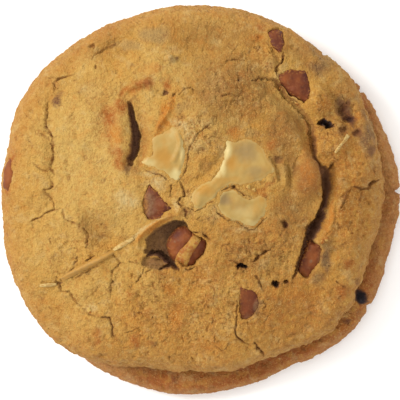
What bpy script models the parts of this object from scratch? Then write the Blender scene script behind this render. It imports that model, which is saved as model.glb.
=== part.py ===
"""A thick round hazelnut chocolate cookie seen from straight above in its photo.

The dough is one baked solid: a domed top, an upper tier that overhangs a flatter base,
cracks and pits in the crust. Chocolate chunks and pieces of white chocolate sit in
pockets in it. +X is the photo's right, +Y its upper edge, +Z up, the underside is at
z = 0. Plan positions are read off the photo in its pixels and turned into metres.
"""

import math

import bmesh
import bpy
import numpy as np

MM = 0.001
PIXEL = 0.2 * MM  # one pixel of the photo on the cookie
PHOTO_CENTRE = (200.0, 199.0)  # the cookie's centre in the photo

# Heights of the dough
DOME_HEIGHT = 18.6 * MM
SHOULDER_HEIGHT = 12.0 * MM  # top of the tier, at its edge
TIER_BULGE_HEIGHT = 7.8 * MM  # where the tier is widest
CREASE_HEIGHT = 5.5 * MM  # between tier and base
BASE_TOP_HEIGHT = 4.9 * MM
BASE_BULGE_HEIGHT = 2.5 * MM
SHOULDER_RISE = 0.72  # share of the height from bulge to shoulder that the rounding keeps
DOME_CENTRE = (185.0, 190.0)
DOME_RADIUS = 178.0 * PIXEL
DOME_POWER = 2.2

# Widths of the rim, inwards from the edge named
SHOULDER_WIDTH = 3.6 * MM
SHOULDER_ROUND = 1.3 * MM
TIER_UNDERCUT = 0.6 * MM
CREASE_DEPTH = 1.0 * MM
HIDDEN_CREASE_DEPTH = 0.35 * MM
CREASE_WANDER = 0.45 * MM
CREASE_WAVE = 30.0 * MM
BASE_ROUND = 1.4 * MM
FOOT_ROUND = 1.0 * MM
HIDDEN_BASE_INSET = 3.0  # pixels that the base stays inside the tier where it is hidden

# Edge of the cookie as (angle, radius in pixels), counter-clockwise from the photo's right
OUTER_EDGE = (
    (0, 200.4), (10, 199.8), (22, 197), (36, 197.2), (46, 193.4), (56, 191), (66, 192.4),
    (76, 194.2), (88, 193.6), (98, 194.8), (110, 194.8), (124, 198.8), (140, 202),
    (154, 203.6), (166, 199), (180, 198.4), (195, 201), (212, 204.2), (224, 202.2),
    (240, 198.2), (258, 197.4), (272, 194.9), (288, 192.6), (299, 191), (305, 195.2),
    (320, 202), (334, 199.6), (348, 197.2),
)
# Edge of the upper tier, as the edge of the cookie
TIER_EDGE = (
    (3, 184.5), (14, 184.5), (25, 187.5), (36, 193), (46, 193), (56, 190.8), (66, 192.2),
    (76, 194), (88, 193.4), (98, 194.6), (110, 194.6), (124, 198.6), (140, 201.8),
    (154, 203.4), (166, 198.8), (180, 198.2), (195, 200.8), (212, 204), (229, 200),
    (243, 187), (253, 176.5), (270, 172.5), (283, 175), (292, 172.6), (304, 178.5),
    (317, 183.8), (329, 180), (340, 178.3), (351, 181),
)

# Ring share (0 at the centre, 1 at the foot) at which each line of the profile lies
TOP_SHARE = 0.76
PROFILE_SHARES = (0.76, 0.815, 0.86, 0.89, 0.92, 0.95, 0.975, 1.0)
CRACKS_END = (0.90, 0.96)  # ring shares over which the cracks run out on the rim
UNEVEN_END = 0.965  # ring share from which the crust evens out towards the foot
GRID_CELLS = 240

# Deep openings: path in pixels, width in pixels and depth in millimetres at equal steps
GORGE = (
    (264, 78), (281, 89), (303, 111), (312, 130), (314, 155), (325, 176), (325, 194),
    (323, 208), (313, 230), (303, 250), (293, 277),
)
GORGE_WIDTHS = (4, 7, 5, 5, 6.5, 7, 13, 8.5, 13, 5, 4)
GORGE_DEPTHS = (0.5, 1.6, 1.2, 1.5, 1.9, 2.6, 3.6, 3.8, 4.4, 3.0, 0.8)
SLOT = ((128.5, 105), (132, 120), (135.5, 138), (134, 152), (130, 162))
SLOT_WIDTHS = (4, 6.6, 8.6, 10, 8)
SLOT_DEPTHS = (0.5, 2.4, 3.2, 3.0, 1.0)
# Valley in which the dome rolls down into the gorge's upper half
VALLEY = ((264, 82), (278, 94), (292, 107), (305, 123), (311, 140), (312, 156))
VALLEY_WIDTHS = (20, 32, 34, 34, 28, 14)
VALLEY_DEPTHS = (0.6, 1.6, 2.0, 2.0, 1.8, 0.6)
HOLLOW = ((156, 258), (152, 246), (158, 236), (170, 228), (182, 226))
HOLLOW_WIDTHS = (16, 20, 24, 20, 12)
HOLLOW_DEPTHS = (2.8, 3.6, 4.2, 3.8, 2.4)

# Cracks: path in pixels, width in pixels, depth in millimetres
CRACKS = (
    (((75, 74), (58, 79), (53, 94), (47, 108), (47, 128), (54, 139), (53, 157), (50, 170)), 4, 1.0),
    (((50, 170), (53, 187), (51, 201), (56, 209), (40, 218), (27, 224)), 4, 0.9),
    (((114, 252), (120, 263), (114, 271), (111, 296)), 4, 0.8),
    (((56, 276), (62, 290), (74, 299), (94, 315), (107, 315), (115, 339)), 4, 0.8),
    (((196, 145), (188, 166), (179, 183), (183, 199), (196, 212)), 5, 0.9),
    (((216, 208), (228, 221), (250, 229), (267, 218)), 4, 0.9),
    (((222, 61), (233, 59), (247, 61)), 4, 0.8),
    (((281, 53), (279, 65), (277, 80)), 4, 1.2),
    (((238, 304), (236, 330), (248, 345)), 4, 1.0),
    (((253, 343), (259, 349), (263, 357)), 5, 1.4),
    (((343, 199), (346, 191), (356, 187), (369, 188), (378, 181)), 4, 0.9),
    (((150, 256), (160, 254), (168, 260), (178, 271)), 5, 2.2),
    (((253, 262), (269, 251)), 4, 0.9),
    (((327, 172), (333, 161)), 4, 1.2),
)
# Pits: centre and half sizes in pixels, depth in millimetres
PITS = (
    ((362, 297), (7, 7), 2.6),
    ((327, 124), (8, 4), 1.8),
    ((241, 266), (6, 3), 1.4),
    ((275, 284), (6, 3), 1.2),
    ((346, 114), (8, 9), 1.2),
    ((100, 228), (16, 22), 0.7),
)
# Swellings of the crust: centre and half sizes in pixels, height in millimetres
SWELLINGS = (
    ((117, 133), (14, 34), 1.4),
    ((303, 172), (26, 28), 1.2),
    ((349, 215), (20, 62), 1.0),
    ((300, 318), (60, 34), 0.5),
    ((240, 100), (50, 40), 0.5),
    ((30, 150), (24, 70), 0.5),
    ((90, 330), (60, 34), 0.5),
    ((152, 264), (12, 5), 1.6),
)
UNDULATION = 0.28 * MM
UNDULATION_LENGTH = 16.0 * MM
CRAG = 0.10 * MM
CRAG_LENGTH = 4.0 * MM

# Chunks: name, corner points in pixels, height above the dome, depth below it, both in
# millimetres, and the slope of the top along X and Y
CHUNKS = (
    ("chunk_top", ((265, 31), (281, 30), (284, 46), (280, 54), (271, 49)), 0.5, 3.2, (0.1, -0.2)),
    ("chunk_upper_right", ((278, 76), (290, 70), (303, 70), (311, 80), (309, 99), (304, 104),
                           (292, 95)), 0.4, 4.0, (0.1, 0.1)),
    ("chunk_centre", ((147, 182), (160, 193), (173, 207), (160, 220), (145, 220), (138, 203)),
     0.5, 3.2, (-0.1, 0.05)),
    ("chunk_hollow", ((177, 228), (192, 232), (206, 236), (209, 247), (201, 263), (187, 269),
                      (175, 263), (167, 247)), 0.1, 5.0, (-0.1, 0.0)),
    ("chunk_right", ((310, 240), (322, 244), (325, 262), (311, 279), (298, 278), (300, 260)),
     -0.9, 4.6, (0.15, 0.0)),
    ("chunk_lower", ((238, 288), (252, 286), (260, 290), (261, 306), (254, 318), (240, 320)),
     0.5, 3.2, (0.0, 0.1)),
)
CHUNK_TOP_SCALE = 0.74
CHUNK_FOOT_SCALE = 0.62
CHUNK_WAIST = 0.45  # share of its depth at which a chunk is widest
CHUNK_UNEVEN = 0.12 * MM
CHUNK_CROWN = 0.5 * MM
CHUNK_BEVEL = 0.35 * MM

# The chunk that shows in the side of the tier at the photo's left
RIM_CHUNK = ("chunk_rim", (11.5, 176.0), (1.5 * MM, 3.6 * MM, 1.6 * MM), 10.7 * MM)

# White chocolate: name, outline in pixels, lift above the dome and thickness in millimetres
WHITES = (
    ("white_left", ((168, 127), (183, 132), (186, 150), (187, 165), (178, 181), (160, 173),
                    (143, 164), (150, 150), (152, 137)), 0.35, 1.7),
    ("white_upper", ((226, 141), (246, 140), (265, 151), (267, 172), (257, 183), (238, 184),
                     (222, 190), (210, 203), (197, 208), (190, 200), (193, 190), (208, 182),
                     (217, 170), (221, 156)), 0.45, 1.8),
    ("white_lower", ((224, 195), (238, 191), (252, 198), (267, 196), (268, 211), (257, 225),
                     (244, 226), (229, 218), (218, 207)), 0.35, 1.7),
)
WHITE_ROUND = 0.35 * MM

PIECE_GAP = 0.32 * MM
POCKET_HEADROOM = 3.0 * MM
DOUGH_TRIANGLES = 8200

COLOURS = {
    "dough": (0.50, 0.28, 0.10, 1.0),
    "chunk": (0.22, 0.08, 0.04, 1.0),
    "white": (0.60, 0.40, 0.16, 1.0),
}
ROUGHNESS = {"dough": 0.85, "chunk": 0.5, "white": 0.45}


def clear_scene():
    for obj in list(bpy.data.objects):
        bpy.data.objects.remove(obj, do_unlink=True)


def make_collection(name, hidden=False):
    collection = bpy.data.collections.new(name)
    bpy.context.scene.collection.children.link(collection)
    collection.hide_render = hidden
    return collection


def make_material(name, kind):
    material = bpy.data.materials.new(name)
    material.use_nodes = True
    shader = material.node_tree.nodes["Principled BSDF"]
    shader.inputs["Base Color"].default_value = COLOURS[kind]
    shader.inputs["Roughness"].default_value = ROUGHNESS[kind]
    return material


def place(point):
    """Photo pixel to metres on the cookie."""
    x = (point[0] - PHOTO_CENTRE[0]) * PIXEL
    y = (PHOTO_CENTRE[1] - point[1]) * PIXEL
    return x, y


def smoothstep(low, high, value):
    share = np.clip((value - low) / (high - low), 0.0, 1.0)
    return share * share * (3.0 - 2.0 * share)


def edge_radius(edge, angle):
    """Radius of a closed outline at each angle, smoothly between its points."""
    degrees = np.array([point[0] for point in edge], float)
    radii = np.array([point[1] for point in edge], float) * PIXEL
    count = len(edge)
    turned = np.degrees(angle) % 360.0
    lower = np.searchsorted(degrees, turned, side="right") - 1
    start = degrees[lower]
    start = np.where(lower < 0, degrees[-1] - 360.0, start)
    end = degrees[(lower + 1) % count]
    end = np.where(end < start, end + 360.0, end)
    share = (turned - start) / (end - start)
    return catmull_rom(
        radii[(lower - 1) % count],
        radii[lower % count],
        radii[(lower + 1) % count],
        radii[(lower + 2) % count],
        share,
    )


def catmull_rom(before, start, end, after, share):
    slope_in = 0.5 * (end - before)
    slope_out = 0.5 * (after - start)
    square = share * share
    cube = square * share
    return (
        (2.0 * cube - 3.0 * square + 1.0) * start
        + (cube - 2.0 * square + share) * slope_in
        + (3.0 * square - 2.0 * cube) * end
        + (cube - square) * slope_out
    )


def path_distance(x, y, path):
    """Distance to a pixel path in metres, and how far along it the nearest point is."""
    points = np.array([place(point) for point in path])
    steps = np.linalg.norm(np.diff(points, axis=0), axis=1)
    travelled = np.concatenate(([0.0], np.cumsum(steps)))
    best = np.full(x.shape, np.inf)
    along = np.zeros(x.shape)
    for index, (start, end) in enumerate(zip(points[:-1], points[1:])):
        line = end - start
        share = ((x - start[0]) * line[0] + (y - start[1]) * line[1]) / (steps[index] ** 2)
        share = np.clip(share, 0.0, 1.0)
        distance = np.hypot(x - start[0] - share * line[0], y - start[1] - share * line[1])
        nearer = distance < best
        best = np.where(nearer, distance, best)
        along = np.where(nearer, travelled[index] + share * steps[index], along)
    return best, along / travelled[-1]


def opening_depth(x, y, path, widths, depths):
    """Depth of an opening whose width and depth change along its path."""
    distance, along = path_distance(x, y, path)
    steps = np.linspace(0.0, 1.0, len(widths))
    half = 0.5 * PIXEL * np.interp(along, steps, widths)
    depth = MM * np.interp(along, steps, depths)
    return depth * (1.0 - smoothstep(0.35, 1.25, distance / half))


def crack_depth(x, y, path, width, depth):
    distance, along = path_distance(x, y, path)
    ends = smoothstep(0.0, 0.12, along) * (1.0 - smoothstep(0.88, 1.0, along))
    return depth * MM * (0.35 + 0.65 * ends) * (1.0 - smoothstep(0.0, 0.5 * width * PIXEL, distance))


def spot(x, y, centre, half_sizes):
    """1 in the middle of an oval, 0 from its edge outwards."""
    centre_x, centre_y = place(centre)
    across = (x - centre_x) / (half_sizes[0] * PIXEL)
    along = (y - centre_y) / (half_sizes[1] * PIXEL)
    return 1.0 - smoothstep(0.25, 1.0, np.hypot(across, along))


def waves(x, y, z, length, seed):
    """Smooth unevenness of about unit height and the given wave length."""
    source = np.random.default_rng(seed)
    total = np.zeros(x.shape)
    count = 24
    for _ in range(count):
        direction = source.normal(size=3)
        direction /= np.linalg.norm(direction)
        stretch = source.uniform(0.7, 1.5)
        phase = source.uniform(0.0, 2.0 * math.pi)
        run = x * direction[0] + y * direction[1] + z * direction[2]
        total += np.sin(2.0 * math.pi * run * stretch / length + phase)
    return total / math.sqrt(count / 2.0)


def dome_height(x, y):
    centre_x, centre_y = place(DOME_CENTRE)
    share = np.hypot(x - centre_x, y - centre_y) / DOME_RADIUS
    rise = 1.0 - np.minimum(share, 1.15) ** DOME_POWER
    height = SHOULDER_HEIGHT + (DOME_HEIGHT - SHOULDER_HEIGHT) * rise
    for centre, half_sizes, swell in SWELLINGS:
        height = height + swell * MM * spot(x, y, centre, half_sizes)
    return height


def sunk_depth(x, y):
    """How far cracks, pits and openings go below the crust."""
    depth = opening_depth(x, y, GORGE, GORGE_WIDTHS, GORGE_DEPTHS)
    depth = np.maximum(depth, opening_depth(x, y, SLOT, SLOT_WIDTHS, SLOT_DEPTHS))
    depth = np.maximum(depth, opening_depth(x, y, HOLLOW, HOLLOW_WIDTHS, HOLLOW_DEPTHS))
    depth = depth + opening_depth(x, y, VALLEY, VALLEY_WIDTHS, VALLEY_DEPTHS)
    for path, width, crack in CRACKS:
        depth = np.maximum(depth, crack_depth(x, y, path, width, crack))
    for centre, half_sizes, pit in PITS:
        depth = np.maximum(depth, pit * MM * spot(x, y, centre, half_sizes))
    return depth


def profile_lines(angle):
    """Radius and height of each line of the rim profile at each angle."""
    outer = edge_radius(OUTER_EDGE, angle)
    tier = np.minimum(edge_radius(TIER_EDGE, angle), outer)
    shown = smoothstep(0.0, 10.0 * PIXEL, outer - tier)
    base = outer - (1.0 - shown) * HIDDEN_BASE_INSET * PIXEL
    crease = np.minimum(tier, base) - HIDDEN_CREASE_DEPTH
    crease = crease - (CREASE_DEPTH - HIDDEN_CREASE_DEPTH) * shown
    shoulder = tier - SHOULDER_WIDTH
    top_edge = dome_height(shoulder * np.cos(angle), shoulder * np.sin(angle))
    radii = (
        shoulder,
        tier - SHOULDER_ROUND,
        tier,
        tier - TIER_UNDERCUT,
        crease,
        base - BASE_ROUND,
        base,
        base - FOOT_ROUND,
    )
    level = np.ones(angle.shape)
    wander = waves(outer * np.cos(angle), outer * np.sin(angle), 0.0 * angle, CREASE_WAVE, seed=5)
    wander = CREASE_WANDER * wander
    heights = (
        top_edge,
        TIER_BULGE_HEIGHT + SHOULDER_RISE * (top_edge - TIER_BULGE_HEIGHT),
        TIER_BULGE_HEIGHT + 0.5 * wander,
        0.5 * (TIER_BULGE_HEIGHT + CREASE_HEIGHT) + wander,
        CREASE_HEIGHT + wander,
        BASE_TOP_HEIGHT + wander,
        BASE_BULGE_HEIGHT * level,
        0.0 * level,
    )
    return radii, heights


def rim_point(ring, angle):
    """Radius and height on the rim for ring shares from the shoulder to the foot."""
    radii, heights = profile_lines(angle)
    radius = np.array(radii[-1])
    height = np.array(heights[-1])
    last = len(PROFILE_SHARES) - 2
    for index, (start, end) in enumerate(zip(PROFILE_SHARES[:-1], PROFILE_SHARES[1:])):
        here = (ring >= start) & (ring <= end)
        share = np.clip((ring - start) / (end - start), 0.0, 1.0)
        before = max(index - 1, 0)
        after = min(index + 2, last + 1)
        line = (before, index, index + 1, after)
        radius = np.where(here, catmull_rom(*(radii[step] for step in line), share), radius)
        height = np.where(here, catmull_rom(*(heights[step] for step in line), share), height)
    return radius, height


def square_to_ring(u, v):
    """Ring share and angle of a point of the square grid, its rings being squares."""
    ring = np.maximum(np.abs(u), np.abs(v))
    safe_u = np.where(np.abs(u) < 1e-9, 1e-9, u)
    safe_v = np.where(np.abs(v) < 1e-9, 1e-9, v)
    wide = np.abs(u) >= np.abs(v)
    quarter = 0.25 * math.pi
    angle = np.where(
        wide,
        quarter * v / safe_u + np.where(u < 0.0, math.pi, 0.0),
        2.0 * quarter - quarter * u / safe_v + np.where(v < 0.0, math.pi, 0.0),
    )
    return ring, angle


def read_points(mesh, field="co"):
    values = np.empty(3 * len(mesh.vertices))
    mesh.vertices.foreach_get(field, values)
    return values.reshape(-1, 3)


def write_points(mesh, points):
    mesh.vertices.foreach_set("co", points.ravel())
    mesh.update()


def make_shell():
    """The dough from the middle of its top to its foot, open below."""
    bpy.ops.mesh.primitive_grid_add(x_subdivisions=GRID_CELLS, y_subdivisions=GRID_CELLS, size=2.0)
    obj = bpy.context.object
    mesh = obj.data
    flat = read_points(mesh)
    ring, angle = square_to_ring(flat[:, 0], flat[:, 1])
    rim_radius, rim_height = rim_point(ring, angle)
    shoulder = profile_lines(angle)[0][0]
    on_top = ring < TOP_SHARE
    radius = np.where(on_top, shoulder * ring / TOP_SHARE, rim_radius)
    x = radius * np.cos(angle)
    y = radius * np.sin(angle)
    z = np.where(on_top, dome_height(x, y), rim_height)
    write_points(mesh, np.column_stack((x, y, z)))

    normals = read_points(mesh, "normal")
    foot = 1.0 - smoothstep(UNEVEN_END, 1.0, ring)
    swell = UNDULATION * waves(x, y, z, UNDULATION_LENGTH, seed=3)
    swell += CRAG * waves(x, y, z, CRAG_LENGTH, seed=8)
    swell -= sunk_depth(x, y) * (1.0 - smoothstep(*CRACKS_END, ring))
    points = np.column_stack((x, y, z)) + normals * (swell * foot)[:, None]
    points[:, 2] = np.maximum(points[:, 2], 0.0)
    write_points(mesh, points)
    return obj


def baked_mesh(obj):
    """The object's mesh with its modifiers worked in."""
    graph = bpy.context.evaluated_depsgraph_get()
    return bpy.data.meshes.new_from_object(obj.evaluated_get(graph))


def make_dough(collection):
    shell = make_shell()
    thin = shell.modifiers.new("fewer_faces", "DECIMATE")
    thin.ratio = DOUGH_TRIANGLES / (2.0 * len(shell.data.polygons))
    thin.use_collapse_triangulate = True
    mesh = baked_mesh(shell)
    bpy.data.objects.remove(shell, do_unlink=True)

    work = bmesh.new()
    work.from_mesh(mesh)
    rim = [edge for edge in work.edges if edge.is_boundary]
    for edge in rim:
        for vertex in edge.verts:
            vertex.co.z = 0.0
    bmesh.ops.contextual_create(work, geom=rim)
    bmesh.ops.recalc_face_normals(work, faces=work.faces)
    for face in work.faces:
        face.smooth = len(face.verts) == 3
    work.to_mesh(mesh)
    work.free()

    mesh.name = "dough"
    mesh.materials.clear()
    mesh.materials.append(make_material("dough", "dough"))
    obj = bpy.data.objects.new("dough", mesh)
    collection.objects.link(obj)
    return obj


def hull_object(name, points, collection, grow=0.0):
    """A convex lump round the points, with every face moved out by grow."""
    mesh = bpy.data.meshes.new(name)
    work = bmesh.new()
    for point in points:
        work.verts.new(point)
    result = bmesh.ops.convex_hull(work, input=work.verts)
    spare = [item for item in result["geom_interior"] if isinstance(item, bmesh.types.BMVert)]
    bmesh.ops.delete(work, geom=spare, context="VERTS")
    bmesh.ops.dissolve_limit(work, angle_limit=math.radians(1.0), verts=work.verts, edges=work.edges)
    bmesh.ops.recalc_face_normals(work, faces=work.faces)
    work.normal_update()
    if grow:
        moved = [(v, v.co + v.normal * grow * v.calc_shell_factor()) for v in work.verts]
        for vertex, position in moved:
            vertex.co = position
    bmesh.ops.triangulate(work, faces=work.faces)
    work.to_mesh(mesh)
    work.free()
    obj = bpy.data.objects.new(name, mesh)
    collection.objects.link(obj)
    return obj


def chunk_points(corners, lift, depth, slope):
    """Points of a chunk: its corners, a smaller uneven top and a smaller foot."""
    plan = np.array([place(corner) for corner in corners])
    middle = plan.mean(axis=0)
    level = float(dome_height(middle[0], middle[1])) + lift * MM
    tilt = (plan - middle) @ np.array(slope)
    uneven = CHUNK_UNEVEN * np.cos(2.4 * np.arange(len(plan)))
    points = []
    for spread, height in (
        (CHUNK_TOP_SCALE, level + uneven),
        (1.0, level - CHUNK_CROWN - CHUNK_WAIST * depth * MM - uneven),
        (CHUNK_FOOT_SCALE, np.full(len(plan), level - depth * MM)),
    ):
        ring = middle + spread * (plan - middle)
        points.extend(np.column_stack((ring, height + spread * tilt)))
    points.append(np.array((middle[0], middle[1], level + 0.4 * CHUNK_CROWN)))
    return points


def finish_piece(obj, kind):
    obj.data.materials.append(make_material(obj.name, kind))
    for face in obj.data.polygons:
        face.use_smooth = True


def make_chunks(collection, cutters):
    for name, corners, lift, depth, slope in CHUNKS:
        points = chunk_points(corners, lift, depth, slope)
        chunk = hull_object(name, points, collection)
        bevel = chunk.modifiers.new("worn_edges", "BEVEL")
        bevel.width = CHUNK_BEVEL
        bevel.segments = 2
        bevel.limit_method = "ANGLE"
        finish_piece(chunk, "chunk")
        above = [point + np.array((0.0, 0.0, POCKET_HEADROOM)) for point in points[: len(corners)]]
        hull_object(name + "_pocket", points + above, cutters, PIECE_GAP)


def make_rim_chunk(collection, cutters):
    """An oval chunk lying along the rim, half inside the side of the tier."""
    name, middle, half_sizes, height = RIM_CHUNK
    x, y = place(middle)
    turn = math.atan2(y, x)
    for label, group, grow in ((name, collection, 0.0), (name + "_pocket", cutters, PIECE_GAP)):
        bpy.ops.mesh.primitive_uv_sphere_add(segments=20, ring_count=12, radius=1.0)
        obj = bpy.context.object
        obj.name = label
        for owner in list(obj.users_collection):
            owner.objects.unlink(obj)
        group.objects.link(obj)
        points = read_points(obj.data) * (np.array(half_sizes) + grow)
        along = points[:, 0] * math.cos(turn) - points[:, 1] * math.sin(turn)
        across = points[:, 0] * math.sin(turn) + points[:, 1] * math.cos(turn)
        write_points(obj.data, np.column_stack((x + along, y + across, height + points[:, 2])))
        if not grow:
            finish_piece(obj, "chunk")


def slab_object(name, outline, collection, thickness, rounding, grow=0.0):
    """A flat slab of melted chocolate with a smooth outline and a rounded edge."""
    plan = np.array([place(point) for point in outline])
    middle = plan.mean(axis=0)
    curve = bpy.data.curves.new(name, "CURVE")
    curve.dimensions = "2D"
    curve.fill_mode = "BOTH"
    curve.resolution_u = 3
    curve.bevel_resolution = 1
    curve.bevel_depth = rounding
    curve.extrude = 0.5 * thickness - rounding
    curve.offset = grow - rounding
    line = curve.splines.new("BEZIER")
    line.bezier_points.add(len(plan) - 1)
    line.use_cyclic_u = True
    for knot, point in zip(line.bezier_points, plan):
        knot.co = (point[0] - middle[0], point[1] - middle[1], 0.0)
        knot.handle_left_type = "AUTO"
        knot.handle_right_type = "AUTO"
    source = bpy.data.objects.new(name + "_outline", curve)
    collection.objects.link(source)
    mesh = baked_mesh(source)
    bpy.data.objects.remove(source, do_unlink=True)

    work = bmesh.new()
    work.from_mesh(mesh)
    bmesh.ops.remove_doubles(work, verts=work.verts, dist=0.00001)
    bmesh.ops.triangulate(work, faces=work.faces)
    bmesh.ops.recalc_face_normals(work, faces=work.faces)
    work.to_mesh(mesh)
    work.free()
    mesh.name = name
    obj = bpy.data.objects.new(name, mesh)
    collection.objects.link(obj)
    return obj, middle


def lay_on_dome(obj, middle, lift):
    """Bends a slab to the dome, its top a little above it."""
    points = read_points(obj.data)
    top = points[:, 2].max()
    points[:, 0] += middle[0]
    points[:, 1] += middle[1]
    points[:, 2] += dome_height(points[:, 0], points[:, 1]) + lift - top
    write_points(obj.data, points)


def make_whites(collection, cutters):
    for name, outline, lift, thickness in WHITES:
        slab, middle = slab_object(name, outline, collection, thickness * MM, WHITE_ROUND)
        lay_on_dome(slab, middle, lift * MM)
        finish_piece(slab, "white")
        deep = thickness * MM + PIECE_GAP + POCKET_HEADROOM
        pocket, middle = slab_object(name + "_pocket", outline, cutters, deep, 0.0, PIECE_GAP)
        lay_on_dome(pocket, middle, lift * MM + POCKET_HEADROOM)


def cut_pockets(dough, cutters):
    for cutter in cutters.objects:
        cutter.display_type = "WIRE"
        cutter.hide_render = True
        cut = dough.modifiers.new(cutter.name, "BOOLEAN")
        cut.operation = "DIFFERENCE"
        cut.solver = "EXACT"
        cut.object = cutter


def centring_shift(objects):
    """The move that centres the cookie's box on X and Y."""
    low = np.full(3, np.inf)
    high = np.full(3, -np.inf)
    for obj in objects:
        points = read_points(obj.data)
        low = np.minimum(low, points.min(axis=0))
        high = np.maximum(high, points.max(axis=0))
    return np.array((-0.5 * (low[0] + high[0]), -0.5 * (low[1] + high[1]), 0.0))


def main():
    clear_scene()
    cookie = make_collection("hazelnut_chocolate_cookie")
    cutters = make_collection("cutters", hidden=True)
    dough = make_dough(cookie)
    make_chunks(cookie, cutters)
    make_rim_chunk(cookie, cutters)
    make_whites(cookie, cutters)
    shift = centring_shift(cookie.objects)
    for obj in list(cookie.objects) + list(cutters.objects):
        write_points(obj.data, read_points(obj.data) + shift)
    cut_pockets(dough, cutters)


main()
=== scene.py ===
"""Looks of the hazelnut chocolate cookie: cracked crumbly dough, chocolate chunks and
melted white chocolate, seen from straight above as in the photo.

Places on the cookie are read off the photo in its pixels, x to the right and y down.
"""

import math

import bmesh
import bpy
import numpy as np
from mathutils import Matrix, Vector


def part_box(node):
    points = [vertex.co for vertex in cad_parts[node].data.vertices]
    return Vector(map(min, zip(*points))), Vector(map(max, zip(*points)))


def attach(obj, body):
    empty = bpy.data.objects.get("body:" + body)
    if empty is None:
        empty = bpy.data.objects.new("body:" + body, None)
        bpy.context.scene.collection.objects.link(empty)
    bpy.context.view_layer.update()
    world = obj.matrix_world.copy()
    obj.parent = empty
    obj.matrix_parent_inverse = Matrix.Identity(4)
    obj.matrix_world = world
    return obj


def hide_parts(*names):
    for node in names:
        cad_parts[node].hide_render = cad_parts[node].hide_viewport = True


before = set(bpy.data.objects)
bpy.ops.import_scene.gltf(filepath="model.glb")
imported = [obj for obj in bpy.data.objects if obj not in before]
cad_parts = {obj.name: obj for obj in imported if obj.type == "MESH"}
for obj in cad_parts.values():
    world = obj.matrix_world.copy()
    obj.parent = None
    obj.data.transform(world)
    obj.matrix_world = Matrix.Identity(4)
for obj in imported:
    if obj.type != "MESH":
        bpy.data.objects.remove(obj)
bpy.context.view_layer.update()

MM = 0.001
PIXEL = 0.2 * MM  # one pixel of the photo on the cookie
PHOTO_CENTRE = (200.0, 199.0)
PHOTO_PIXELS = 400

# Heights of the dough, as in the solid
DOME_HEIGHT = 18.6 * MM
SHOULDER_HEIGHT = 12.0 * MM
TIER_BULGE_HEIGHT = 7.8 * MM
CREASE_HEIGHT = 5.5 * MM
BASE_TOP_HEIGHT = 4.9 * MM
BASE_BULGE_HEIGHT = 2.5 * MM
DOME_CENTRE = (185.0, 190.0)
DOME_RADIUS = 178.0 * PIXEL
DOME_POWER = 2.2
SHOULDER_RISE = 0.72  # height of the rounded shoulder between the bulge, 0, and the dome, 1

# Widths of the rim, inwards from the edge named
SHOULDER_WIDTH = 3.6 * MM
SHOULDER_ROUND = 1.3 * MM
TIER_UNDERCUT = 0.6 * MM
CREASE_DEPTH = 1.0 * MM
HIDDEN_CREASE_DEPTH = 0.35 * MM
CREASE_WANDER = 0.45 * MM
CREASE_WAVE = 30.0 * MM
TIER_FRAY = 0.32 * MM
BASE_ROUND = 1.4 * MM
FOOT_ROUND = 1.0 * MM
HIDDEN_BASE_INSET = 3.0  # pixels that the base stays inside the tier where it is hidden

# Edge of the cookie as (angle, radius in pixels), counter-clockwise from the photo's right
OUTER_EDGE = (
    (0, 200.4), (10, 199.8), (22, 197), (36, 197.2), (46, 193.4), (56, 191), (66, 192.4),
    (76, 194.2), (88, 193.6), (98, 194.8), (110, 194.8), (124, 198.8), (140, 202), (154, 203.6),
    (166, 199), (180, 198.4), (195, 201), (212, 204.2), (224, 202.2), (240, 198.2),
    (258, 197.4), (272, 194.9), (288, 192.6), (299, 191), (305, 195.2), (320, 202),
    (334, 199.6), (348, 197.2),
)
TIER_EDGE = (
    (3, 184.5), (14, 184.5), (25, 187.5), (36, 193), (46, 193), (56, 190.8), (66, 192.2),
    (76, 194), (88, 193.4), (98, 194.6), (110, 194.6), (124, 198.6), (140, 201.8), (154, 203.4),
    (166, 198.8), (180, 198.2), (195, 200.8), (212, 204), (229, 200), (243, 187), (253, 176.5),
    (270, 172.5), (283, 175), (292, 172.6), (304, 178.5), (317, 183.8), (329, 180), (340, 178.3),
    (351, 181),
)
# Nicks in the outline: angle and half width in degrees, depth in pixels
EDGE_NICKS = ((2.4, 1.1, 5.0), (34.0, 1.0, 3.5), (49.5, 0.8, 2.5), (327.5, 1.2, 2.5))
# Rings of the crust, from 0 at its middle to 1 at its foot: the lines of the rim's profile, and
# the stretches in which the crust calms down, the folds and cracks of the top end, the coarse
# base begins and all relief fades out
PROFILE_RINGS = (0.76, 0.815, 0.86, 0.89, 0.92, 0.95, 0.975, 1.0)
TOP_RING = PROFILE_RINGS[0]
CALM_RINGS = (0.78, 0.86)
TOP_END_RINGS = (0.90, 0.96)
BASE_RINGS = (0.90, 0.95)
FOOT_RINGS = (0.965, 1.0)
GRID_CELLS = 760
DOUGH_TRIANGLES = 194000
NOISE_CELLS = 32  # lumps on each axis after which the noise repeats

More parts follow.
